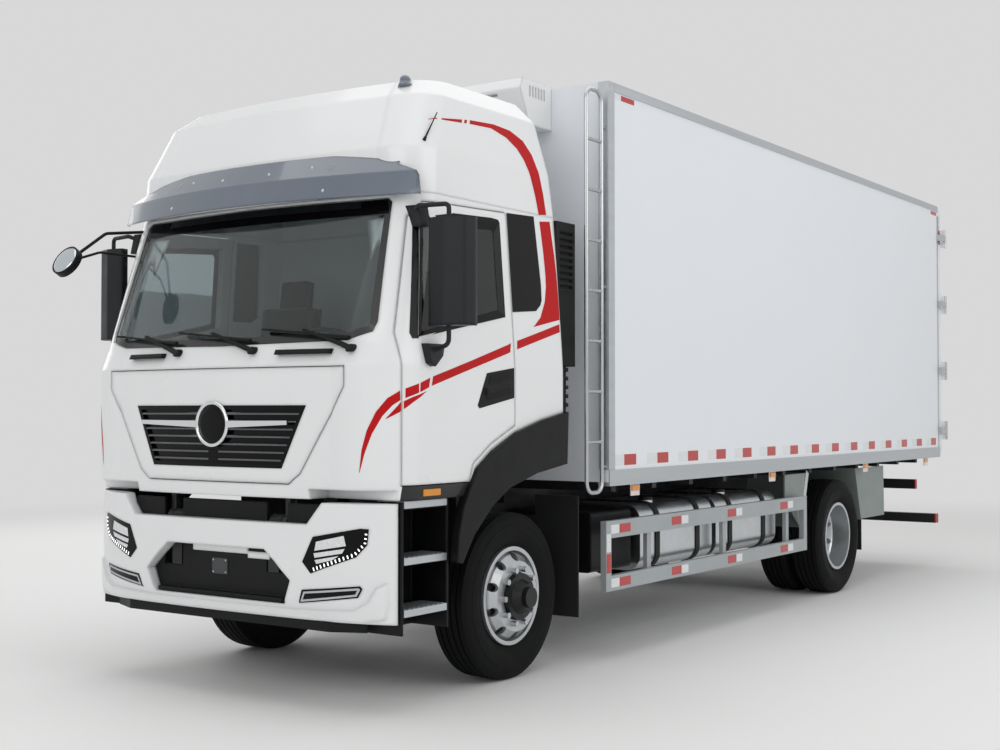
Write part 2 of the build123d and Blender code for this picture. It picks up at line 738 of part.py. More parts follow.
# Bumper with headlamps, fog lamps and a black centre insert
bumper_sections = (                  # z, front at the middle, shoulder y, corner y, side y
    (bumper_low, bumper_front + 70, bumper_front + 90, bumper_front + 150, -1240),
    (600, bumper_front + 20, bumper_front + 45, bumper_front + 128, -1240),
    (760, bumper_front + 8, bumper_front + 28, bumper_front + 115, -1240),
    (bumper_high, bumper_front + 12, bumper_front + 36, bumper_front + 120, -1240),
)
bumper_half = 1180
bumper_shoulder = 740
bumper_back = -1225
insert_sheet = 20
lip_low = 436                        # underside of the black lip below the bumper
bumper_dip = mirrored([(0, 1014), (690, 1014), (790, bumper_high + 1), (0, bumper_high + 1)])
lamp_outline = [(735, 950), (1010, 1002), (1055, 1000), (1048, 915), (991, 848), (725, 752), (665, 812)]
fog_outline = [(655, 660), (1010, 696), (1022, 680), (996, 632), (626, 584)]
centre_outline = mirrored([(0, 866), (388, 866), (470, 800), (575, 705), (520, 571), (0, 571)])


def bumper_solid():
    faces = []
    for z, front_y, shoulder_y, corner_y, side_y in bumper_sections:
        s, h = bumper_shoulder, bumper_half
        line = ThreePointArc((-s, shoulder_y), (0, front_y), (s, shoulder_y))
        for turn in (1, -1):
            line += ThreePointArc((turn * s, shoulder_y), (turn * 1045, corner_y), (turn * h, side_y))
            line += Line((turn * h, side_y), (turn * h, bumper_back))
        line += Line((h, bumper_back), (-h, bumper_back))
        faces.append(Pos(0, 0, z) * make_face(line))
    return loft(faces, ruled=True)


def bumper_wall():
    half = [(1090, bumper_back + 1), (1090, -1236), (940, -1262), (740, bumper_inner)]
    room = prism_z(half + [(-x, y) for x, y in reversed(half)], (bumper_low - 1, bumper_high + 1))
    depth = (bumper_front - 100, bumper_back + 50)
    return bumper_solid() - room - prism_y(bumper_dip, depth)


def front_end():
    wall = bumper_wall()
    depth = (bumper_front - 100, bumper_back + 50)
    lamp = prism_y(lamp_outline, depth)
    fog = prism_y(fog_outline, depth)
    centre = prism_y(centre_outline, depth)
    cuts = pair(lamp) + pair(fog)
    lamps = [wall & cut for cut in cuts]
    bumper = wall - centre
    for cut in cuts:
        bumper = bumper - cut
    return bumper, lamps


def bumper_insert():
    """Black panel behind the centre opening, slot panel above and lip below the bumper."""
    depth = (bumper_inner, bumper_inner + insert_sheet)
    panel = block((-640, 640), depth, (bumper_low - 30, 900))
    slot = block((-bumper_shoulder, bumper_shoulder), depth, (880, 1120))
    tread = block((-500, 500), (bumper_inner - 46, bumper_inner), (576, 600))
    half = [(800, depth[0]), (1000, -1262), (985, -1240), (785, depth[1])]
    lip = prism_z(half + [(-x, y) for x, y in reversed(half)], (lip_low, bumper_low))
    skirt = fuse(panel, slot, tread, lip)
    room = block((frame_half - frame_flange - 12, frame_half + pivot_pin_length + 12),
                 (depth[0] - 1, depth[1] + 1), (frame_low - 1, 1121))
    return skirt - room - flip(room)


# Steps under the doors
step_x = (930, 1195)
step_y = (-1215, -800)
step_treads = ((1100, 1140), (800, 838), (524, 560))


def step_well():
    back = block((step_x[0], step_x[0] + 16), step_y, (430, 1140))
    ends = [block(step_x, (y, y + 16), (430, 1140)) for y in (step_y[0], step_y[1] - 16)]
    treads = [block(step_x, step_y, z) for z in step_treads]
    arms = [block((frame_half, step_x[0]), (y, y + 60), (800, 860)) for y in (-1160, -900)]
    return fuse(back, *ends, *treads, *arms)


bumper, lamps = front_end()
save("bumper", bumper)
save("headlamps", *lamps)
save("bumper_insert", bumper_insert())
save("steps", *pair(step_well()))


# Cab: plan sections from the sill to the top of the raised roof
cab_columns = ("z", "front", "shoulder_x", "shoulder_y", "half", "side_y", "rear")
cab_sections = (
    (cab_floor, -1415, 850, -1360, 1225, -1100, 335),
    (1250, -1440, 850, -1385, 1235, -1110, 335),
    (1880, -1440, 850, -1385, 1235, -1110, 335),
    (2000, -1385, 880, -1315, 1228, -1090, 335),
    (cab_roof_z, -1110, 930, -1040, 1165, -880, 335),
    (3100, -1105, 880, -1050, 1150, -850, 300),
    (3430, -945, 820, -885, 1090, -700, 230),
    (3545, -790, 760, -740, 1000, -560, 150),
    (3625, -450, 560, -420, 800, -260, -30),
)
cab_levels = [dict(zip(cab_columns, row)) for row in cab_sections]
corner_bulge = 0.278                 # how full the front corners are, as a share of their span


def level_at(z):
    """Section sizes at any height, straight between the levels given."""
    below = [level for level in cab_levels if level["z"] <= z][-1]
    above = [level for level in cab_levels if level["z"] >= z][0]
    span = above["z"] - below["z"]
    share = (z - below["z"]) / span if span else 0
    return {key: below[key] + share * (above[key] - below[key]) for key in cab_columns}


def cab_face(level, inset):
    front_y = level["front"] + inset
    sx, sy = level["shoulder_x"] - 0.4 * inset, level["shoulder_y"] + inset
    half, side_y, rear_y = level["half"] - inset, level["side_y"] + 0.4 * inset, level["rear"] - inset
    mid_x = half - corner_bulge * (half - sx)
    mid_y = sy + corner_bulge * (side_y - sy)
    line = ThreePointArc((-sx, sy), (0, front_y), (sx, sy))
    for turn in (1, -1):
        line += ThreePointArc((turn * sx, sy), (turn * mid_x, mid_y), (turn * half, side_y))
        line += Line((turn * half, side_y), (turn * half, rear_y))
    line += Line((half, rear_y), (-half, rear_y))
    return Pos(0, 0, level["z"]) * make_face(line)


def cab_solid(inset, low, high):
    heights = [low] + [level["z"] for level in cab_levels if low < level["z"] < high] + [high]
    return loft([cab_face(level_at(z), inset) for z in heights], ruled=True)


def skin(outer, inner, low, high):
    """Layer of the cab's wall between two depths, in from its outer face."""
    return cab_solid(outer, low, high) - cab_solid(inner, low, high)


def grown(points, amount):
    """Outline moved outwards by amount, as a face."""
    face = make_face(Polyline(*points, close=True))
    return offset(face, amount=amount, kind=Kind.INTERSECTION)


def grown_prism_x(points, x, amount):
    return extrude(Plane.YZ.offset(x[0]) * grown(points, amount), amount=x[1] - x[0])


def grown_prism_y(points, y, amount):
    plane = Plane(origin=(0, 0, 0), x_dir=(1, 0, 0), z_dir=(0, -1, 0)).offset(-y[1])
    return extrude(plane * grown(points, amount), amount=y[1] - y[0])


# Outlines on the cab: side ones as (y, z), front ones as (x, z)
arch_edge = [(-660, cab_floor), (-604, 1301), (-447, 1399), (-204, 1503), (83, 1574), (360, 1622)]
arch_plate = 36
flare_inner = [(345, 1300), (9, 1256), (-287, 1180), (-468, 1081), (-643, 931), (-754, 780)]
flare_front = [(-801, 788), (-785, 941), (-737, 1096), (-665, 1210)]
door_outline = [(-1215, 1232), (-1215, 2050), (-1040, 2700), (-965, 2785), (-215, 2808), (-200, 2790),
                (-200, 1545),
                (-447, 1441), (-622, 1332), (-655, 1232)]
door_glass_outline = [(-1105, 2030), (-1000, 2680), (-290, 2735), (-290, 2195)]
quarter_outline = [(-165, 2245), (-165, 2790), (95, 2800), (115, 2290), (60, 2250)]
screen_outline = mirrored([(0, 1998), (900, 2012), (1050, 2055), (1065, 2110), (1000, 2790), (965, 2816),
                           (0, 2822)])
hatch_outline = mirrored([(0, 1232), (560, 1232), (640, 1290), (935, 1764), (935, 1868), (0, 1868)])
grille_outline = mirrored([(0, 1313), (515, 1313), (681, 1661), (0, 1661)])
hatch_skin = 8
hatch_depth = 25
hatch_inset = 20
hatch_pocket = 32
stop_x = 450                         # rubber stops behind the hatch
stop_z = 1285
side_reach = (700, 1400)
front_reach = (-1700, -760)
lip_x = 690                          # outboard of this the cab's front lip is higher
lip_y = -1230
lip_z = 1205
tunnel = {"half": 430, "front": -950, "top": 1420, "plate": 30}
lug_x = (frame_half + 15, frame_half + 50)
pin_gap = 0.3


def cab_shell(outer, inner):
    shell = outer - inner
    front_cut = block((lip_x, 1400), (-1600, lip_y), (cab_floor - 1, lip_z))
    front_floor = block((lip_x, 1400), (-1600, lip_y + 40), (lip_z, lip_z + cab_floor_depth)) & outer
    arch = prism_x(arch_edge + [(400, 1622), (400, cab_floor - 1), (-660, cab_floor - 1)],
                   (tunnel["half"], 1400))
    cover_line = arch_edge + [(y, z + arch_plate) for y, z in reversed(arch_edge)]
    cover = prism_x(cover_line, (tunnel["half"] - 5, 1400)) & outer
    room = prism_x([(y, z) for y, z in arch_edge] + [(400, 1622), (400, cab_floor - 1)],
                   (tunnel["half"], 1400))
    for turn in (lambda shape: shape, flip):
        shell = shell - turn(front_cut) - turn(arch) - turn(room)
        shell = shell + turn(front_floor) + turn(cover)
    half, top, plate = tunnel["half"], tunnel["top"], tunnel["plate"]
    ends = (tunnel["front"], 335)
    tunnel_block = block((-half, half), ends, (cab_floor, top)) & outer
    tunnel_room = block((plate - half, half - plate), (ends[0] + plate, 400), (cab_floor - 1, top - plate))
    shell = shell + tunnel_block - tunnel_room
    opening = grown_prism_x(door_outline, side_reach, panel_gap)
    shell = shell - opening - flip(opening)
    quarter = prism_x(quarter_outline, side_reach)
    screen = prism_y(screen_outline, front_reach)
    shell = shell - quarter - flip(quarter) - screen
    pocket = skin(-5, hatch_pocket, cab_floor, 2000) & grown_prism_y(hatch_outline, front_reach, panel_gap)
    shell = shell - pocket
    for x in (-stop_x, stop_x):
        stop = block((x - 25, x + 25), front_reach, (stop_z - 20, stop_z + 20))
        shell = shell + (skin(hatch_depth + pin_gap, hatch_pocket + 5, cab_floor, 2000) & stop)
    lug = block(lug_x, (tilt_y - 12, tilt_y + 42), (tilt_z, cab_floor + 20))
    lug_eye = rod("x", 42, lug_x, (tilt_y, tilt_z))
    bore = rod("x", pivot_pin_radius + pin_gap, (lug_x[0] - 5, lug_x[1] + 5), (tilt_y, tilt_z))
    hinge_lug = fuse(lug, lug_eye) - bore
    return fuse(shell, hinge_lug, flip(hinge_lug))


def cab_door(outer, inner):
    wall = outer - inner
    panel = wall & prism_x(door_outline, side_reach)
    return panel - prism_x(door_glass_outline, side_reach)


def glass(outline, low, high):
    return skin(glass_inset, glass_inset + glass_depth, low, high) & outline


def front_hatch():
    low, high = cab_floor, 2000
    face = skin(0, hatch_skin, low, high) & prism_y(hatch_outline, front_reach)
    back = skin(hatch_skin, hatch_depth, low, high) & grown_prism_y(hatch_outline, front_reach, -hatch_inset)
    return face + back - prism_y(grille_outline, front_reach)


def grille():
    low, high = cab_floor, 2000
    opening = prism_y(grille_outline, front_reach)
    rim_cut = grown_prism_y(grille_outline, front_reach, -24)
    within = grown_prism_y(grille_outline, front_reach, -12)
    frame = (skin(0, hatch_depth, low, high) & opening) - rim_cut
    back = skin(hatch_depth - 7, hatch_depth - 1, low, high) & within
    whole = back + frame
    slat_count, slat_height = 7, 14
    bottom, top = grille_outline[1][1] + 24, grille_outline[2][1] - 24
    pitch = (top - bottom) / slat_count
    layer = skin(4, hatch_depth - 4, low, high)
    for i in range(slat_count):
        z = bottom + (i + 0.5) * pitch
        bar = block((-700, 700), front_reach, (z - slat_height / 2, z + slat_height / 2))
        whole = whole + (layer & bar & within)
    disc = rod("y", 90, (-1449, -1425), (0, 1558))
    return whole + disc


low_outer = cab_solid(0, cab_floor, cab_roof_z)
low_inner = cab_solid(cab_wall, cab_floor + cab_floor_depth, cab_roof_z)
save("cab_shell", cab_shell(low_outer, low_inner))
left_door = cab_door(low_outer, low_inner)
save("door_left", left_door)
save("door_right", flip(left_door))
door_pane = glass(prism_x(door_glass_outline, side_reach), 1900, cab_roof_z)
save("door_glass_left", door_pane)
save("door_glass_right", flip(door_pane))
quarter_pane = glass(prism_x(quarter_outline, side_reach), 1900, cab_roof_z)
screen_pane = glass(prism_y(screen_outline, front_reach), 1900, cab_roof_z)
save("cab_glass", screen_pane, *pair(quarter_pane))
save("front_hatch", front_hatch())
save("grille", grille())


# Raised roof and sun visor
roof_top = cab_levels[-1]["z"]
roof_wall = 45
visor_sheet = 8
visor_sections = (                   # z, front at the middle, end x, end y
    (2815, -1275, 1190, -1065),
    (2950, -1235, 1175, -1040),
    (3080, -1130, 1080, -960),
)


def cab_roof():
    return cab_solid(0, cab_roof_z, roof_top) - cab_solid(roof_wall, cab_roof_z - 1, roof_top - roof_wall)


def visor_solid(inset):
    faces = []
    for z, front_y, end_x, end_y in visor_sections:
        x = end_x - inset
        line = ThreePointArc((-x, end_y), (0, front_y + inset), (x, end_y))
        line += Line((x, end_y), (x, -760)) + Line((x, -760), (-x, -760)) + Line((-x, -760), (-x, end_y))
        faces.append(Pos(0, 0, z) * make_face(line))
    return loft(faces, ruled=True)


def sun_visor(roof_outer):
    low, high = visor_sections[0][0], visor_sections[-1][0]
    shell = visor_solid(0) - visor_solid(visor_sheet)
    back = block((-1400, 1400), (-985, 0), (low - 1, high + 1))
    ends = [block(sorted((turn * 1030, turn * 1400)), (-1045, 0), (low - 1, high + 1)) for turn in (1, -1)]
    body = cab_solid(0, 2700, cab_roof_z)
    stays = None
    for x in (-620, 620):
        stay = block((x - 12, x + 12), (-1280, -1000), (2985, 3020)) & visor_solid(visor_sheet)
        stays = stay if stays is None else stays + stay
    visor = shell - back - ends[0] - ends[1] + stays
    return visor - roof_outer - body


# Mirrors: a tall head on two tube arms at each door, and a round one ahead of the right front corner
mirror_z = (2091, 2678)
mirror_in = (1246, -1060)
mirror_out = (1506, -975)
mirror_depth = 110
mirror_arm = 13
round_radius = 100
round_depth = 44
round_tilt = 30
round_x = -1185
round_z = 2545


def door_mirror(outer):
    back = [(mirror_in[0] + 8, mirror_in[1] + mirror_depth * 0.55), (mirror_out[0] - 22,
                                                                     mirror_out[1] + mirror_depth * 0.5)]
    plan = [mirror_in, (1366, -1075), (1476, -1035), mirror_out, back[1], back[0]]
    head = prism_z(plan, mirror_z, 18)
    upper_foot = block((1040, 1200), (-1040, -985), (2640, 2760))
    lower_foot = prism_x([(-1090, 1995), (-930, 1995), (-950, 1930), (-1020, 1872), (-1060, 1890)],
                         (1180, 1275))
    feet = (fuse(upper_foot, lower_foot) & cab_solid(-40, 1800, cab_roof_z)) - outer
    arm_x, arm_y = 1366, -1025
    upper = bent_tube([(1120, -1010, 2720), (1180, -1060, 2750), (arm_x, arm_y, 2750),
                       (arm_x, arm_y, mirror_z[1] - 30)],
                      mirror_arm, 26)
    lower = bent_tube([(1255, -1010, 1960), (arm_x, arm_y, 1990), (arm_x, arm_y, mirror_z[0] + 30)],
                      mirror_arm, 40)
    return fuse(head, feet, upper, lower) - outer


def front_mirror(outer):
    from_y = mirror_reach_y + round_depth / 2 * cos(radians(round_tilt)) + round_radius * sin(radians(round_tilt))
    disc = Pos(round_x, from_y, round_z) * Rot(90 - round_tilt, 0, 0) * Cylinder(round_radius, round_depth)
    arms = [bent_tube([(-1060, -1040, 2770), (-1120, -1290, 2740), (round_x, from_y, round_z)], 10, 60),
            bent_tube([(-1080, -1090, 2610), (-1140, -1320, 2620), (round_x, from_y, round_z)], 8, 60)]
    return fuse(disc, *arms) - outer


def fender_flare(outer):
    edge = [(y, z) for y, z in arch_edge[1:]]
    points = edge[::-1] + flare_front[::-1] + flare_inner[::-1]
    band = prism_x(points, (1206, 1262))
    return band - outer


# Inside the cab
desk_half = 1080                     # clear of the doors' front edges as they swing
wheel_centre = (500, -900, 1960)
column_tilt = 35                     # of the steering column from upright
wheel_radius = 232
wheel_grip = 16
column_radius = 34


def on_column():
    return Pos(*wheel_centre) * Rot(-column_tilt, 0, 0)


def steering_wheel():
    ring = on_column() * Torus(wheel_radius, wheel_grip)
    hub = on_column() * Pos(0, 0, -22) * Cylinder(62, 44)
    spokes = [on_column() * Rot(0, 0, turn) * Pos(wheel_radius / 2, 0, -8) * Box(wheel_radius, 34, 12)
              for turn in (20, 160, 250, 290)]
    return fuse(ring, hub, *spokes)


def dashboard(inner):
    profile = [(-1420, 1560), (-1420, 1930), (-1180, 1975), (-1000, 1950), (-930, 1840), (-960, 1700),
               (-1050, 1560)]
    desk = prism_x(profile, (-desk_half, desk_half)) & inner
    column = on_column() * Pos(0, 0, -44 - pin_gap - 150) * Cylinder(column_radius, 300)
    return desk + column


seat = {"x": 520, "half": 245, "y": (-690, -250), "z": 1660}


def seats():
    x, half, y, z = seat["x"], seat["half"], seat["y"], seat["z"]
    cushion = block((x - half, x + half), y, (z, z + 120))
    back = prism_x([(y[1] - 110, z + 90), (y[1], z + 60), (y[1] + 90, z + 640), (y[1] + 20, z + 650)],
                   (x - half, x + half))
    head = block((x - 130, x + 130), (y[1] + 25, y[1] + 105), (z + 620, z + 830))
    foot = block((x - 170, x + 170), (y[0] + 40, y[1] - 60), (cab_floor + cab_floor_depth, z))
    under = prism_x([(yy, zz + arch_plate) for yy, zz in arch_edge] + [(400, 1000), (-660, 1000)],
                    (tunnel["half"] - 5, 1400))
    under = under + block((0, tunnel["half"]), (tunnel["front"], 400), (1000, tunnel["top"]))
    chair = fuse(cushion, back, head, foot) - under
    bunk_low = arch_edge[-1][1] + arch_plate
    bunk = block((-1150, 1150), (-110, cab_levels[0]["rear"] - cab_wall - pin_gap),
                 (bunk_low, bunk_low + 110))
    return pair(chair) + [bunk]


intake = {"x": (1030, 1185), "y": 560, "z": (1911, 2824)}


def air_intake():
    x, z = intake["x"], intake["z"]
    rear_y = cab_levels[0]["rear"]
    duct = block(x, (rear_y, intake["y"]), z)
    for i in range(9):
        low = z[1] - 420 + i * 42
        duct = duct - block((x[1] - 14, x[1] + 1), (rear_y + 40, intake["y"] - 30), (low, low + 20))
    bellows = None
    middle = (sum(x) / 2, (rear_y + intake["y"]) / 2 + 10)
    for i in range(6):
        z_top = z[0] - i * 56
        ring = Pos(*middle, z_top - 28) * (Cylinder(62, 56) + Pos(0, 0, 8) * Cylinder(76, 24))
        bellows = ring if bellows is None else bellows + ring
    return duct + bellows


wiper_pivots = (-330, 280, 960)
wiper_length = 640
handle_spans = ((-768, -450), (461, 826))


def cowl_fittings():
    """Wiper arms with blades, and the two grab handles below the windscreen."""
    low, high = 1885, 2300
    near = skin(-34, -14, low, high)
    stem = skin(-34, -pin_gap, low, high)
    pieces = []
    for x in wiper_pivots:
        arm = prism_y([(x + 10, 1978), (x - wiper_length * 0.55, 2085), (x - wiper_length * 0.55, 2071),
                       (x - 10, 1958)],
                      front_reach)
        blade = prism_y([(x - 30, 2036), (x - wiper_length, 2094), (x - wiper_length, 2082),
                         (x - 30, 2022)], front_reach)
        pivot = rod("y", 22, front_reach, (x, 1968))
        pieces.append((near & arm) + (near & blade) + (stem & pivot))
    for ends in handle_spans:
        bar = near & block(ends, front_reach, (1940, 1968))
        for x in (ends[0] + 18, ends[1] - 18):
            bar = bar + (stem & block((x - 16, x + 16), front_reach, (1940, 1968)))
        pieces.append(bar)
    return pieces


roof_outer = cab_solid(0, cab_roof_z, roof_top)
save("cab_roof", cab_roof())
save("sun_visor", sun_visor(roof_outer))
left_mirror = door_mirror(low_outer)
save("mirror_left", left_mirror)
save("mirror_right", flip(left_mirror))
save("front_mirror", front_mirror(low_outer))
save("fender_flares", *pair(fender_flare(low_outer)))
save("steering_wheel", steering_wheel())
save("dashboard", dashboard(low_inner))
save("seats", *seats())
save("air_intake", air_intake())
save("cowl_fittings", *cowl_fittings())
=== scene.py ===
import json
import math

import bmesh
import bpy
from mathutils import Matrix, Vector
from mathutils.bvhtree import BVHTree


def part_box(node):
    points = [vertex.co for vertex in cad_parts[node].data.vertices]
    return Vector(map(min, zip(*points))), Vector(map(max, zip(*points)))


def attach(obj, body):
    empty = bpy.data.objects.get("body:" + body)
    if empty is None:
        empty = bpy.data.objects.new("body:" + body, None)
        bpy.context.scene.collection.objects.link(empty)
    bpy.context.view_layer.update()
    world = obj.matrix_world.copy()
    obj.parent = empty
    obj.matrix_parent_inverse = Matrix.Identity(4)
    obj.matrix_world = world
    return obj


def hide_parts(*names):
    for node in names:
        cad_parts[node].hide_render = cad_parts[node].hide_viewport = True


# White refrigerated box truck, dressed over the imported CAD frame

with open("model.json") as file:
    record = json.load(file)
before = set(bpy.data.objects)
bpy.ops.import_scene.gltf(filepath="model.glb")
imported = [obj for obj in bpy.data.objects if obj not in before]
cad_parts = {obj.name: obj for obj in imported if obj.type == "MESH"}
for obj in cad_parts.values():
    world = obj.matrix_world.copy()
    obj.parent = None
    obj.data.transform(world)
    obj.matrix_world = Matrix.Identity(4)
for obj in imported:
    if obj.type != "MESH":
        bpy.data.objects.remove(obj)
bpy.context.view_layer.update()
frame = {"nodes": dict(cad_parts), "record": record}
cad = frame["nodes"]
scene = bpy.context.scene
scene.view_settings.view_transform = "Standard"

tyreLow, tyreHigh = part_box("tyre_front_left")
axleY = (tyreLow.y + tyreHigh.y) / 2  # pieces are placed from the front axle
axleZ = (tyreLow.z + tyreHigh.z) / 2
rearLow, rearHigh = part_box("tyres_rear_left")
rearAxleY = (rearLow.y + rearHigh.y) / 2
sides = ((1, "left"), (-1, "right"))
front, up = Vector((0, -1, 0)), Vector((0, 0, 1))


def at(x, y, z):  # millimetres from the front axle, on the ground
    return Vector((x / 1000, axleY + y / 1000, z / 1000))


def linear(hexText):
    parts = [int(hexText[i:i + 2], 16) / 255 for i in (1, 3, 5)]
    return [c / 12.92 if c <= 0.04045 else ((c + 0.055) / 1.055) ** 2.4 for c in parts] + [1]


def wire(node, links):  # a socket is linked, anything else is set
    for key, value in links.items():
        if isinstance(value, bpy.types.NodeSocket):
            node.id_data.links.new(value, node.inputs[key])
        else:
            node.inputs[key].default_value = value


def addNode(tree, kind, links=None, **settings):
    node = tree.nodes.new(kind)
    for key, value in settings.items():
        setattr(node, key, value)
    wire(node, links or {})
    return node


def newFinish(name, shaderValues):
    material = bpy.data.materials.new(name)
    material.use_nodes = True
    tree = material.node_tree
    shader = tree.nodes["Principled BSDF"]
    for key, value in shaderValues.items():
        shader.inputs[key].default_value = linear(value) if isinstance(value, str) else value
    place = addNode(tree, "ShaderNodeTexCoord").outputs["Object"]
    return material, tree, shader, place


def perMetre(sizeMm):  # texture scale that gives features of this size
    return 1000 / sizeMm


def softenEdges(tree, bump, edgeMm):  # pressed and moulded edges catch light over this radius
    if edgeMm:
        edge = addNode(tree, "ShaderNodeBevel", {"Radius": edgeMm / 1000}, samples=6)
        wire(bump, {"Normal": edge.outputs[0]})


def mottled(name, look):
    # two tones in soft blotches, an uneven gloss and a fine bump; look holds real sizes in mm
    material, tree, shader, place = newFinish(name, look["shader"])
    stretch = addNode(tree, "ShaderNodeMapping",
                      {"Vector": place, "Scale": look.get("stretch", (1, 1, 1))}).outputs[0]
    blotch = addNode(tree, "ShaderNodeTexNoise", {"Vector": stretch, "Scale": perMetre(look["blotchMm"]),
                                                  "Detail": 4.0}).outputs["Fac"]
    tone = addNode(tree, "ShaderNodeMix", {0: blotch, 6: linear(look["tones"][0]), 7: linear(look["tones"][1])},
                   data_type="RGBA")
    low, high = look["roughness"]
    gloss = addNode(tree, "ShaderNodeMapRange", {"Value": blotch, "From Min": 0.3, "From Max": 0.7,
                                                 "To Min": low, "To Max": high})
    grain = addNode(tree, "ShaderNodeTexNoise", {"Vector": stretch, "Scale": perMetre(look["grainMm"]),
                                                 "Detail": 2.0})
    bump = addNode(tree, "ShaderNodeBump", {"Height": grain.outputs["Fac"], "Strength": look.get("bump", 0.2),
                                            "Distance": look["depthMm"] / 1000})
    softenEdges(tree, bump, look.get("edgeMm", 0))
    wire(shader, {"Base Color": tone.outputs[2], "Roughness": gloss.outputs[0], "Normal": bump.outputs[0]})
    return material


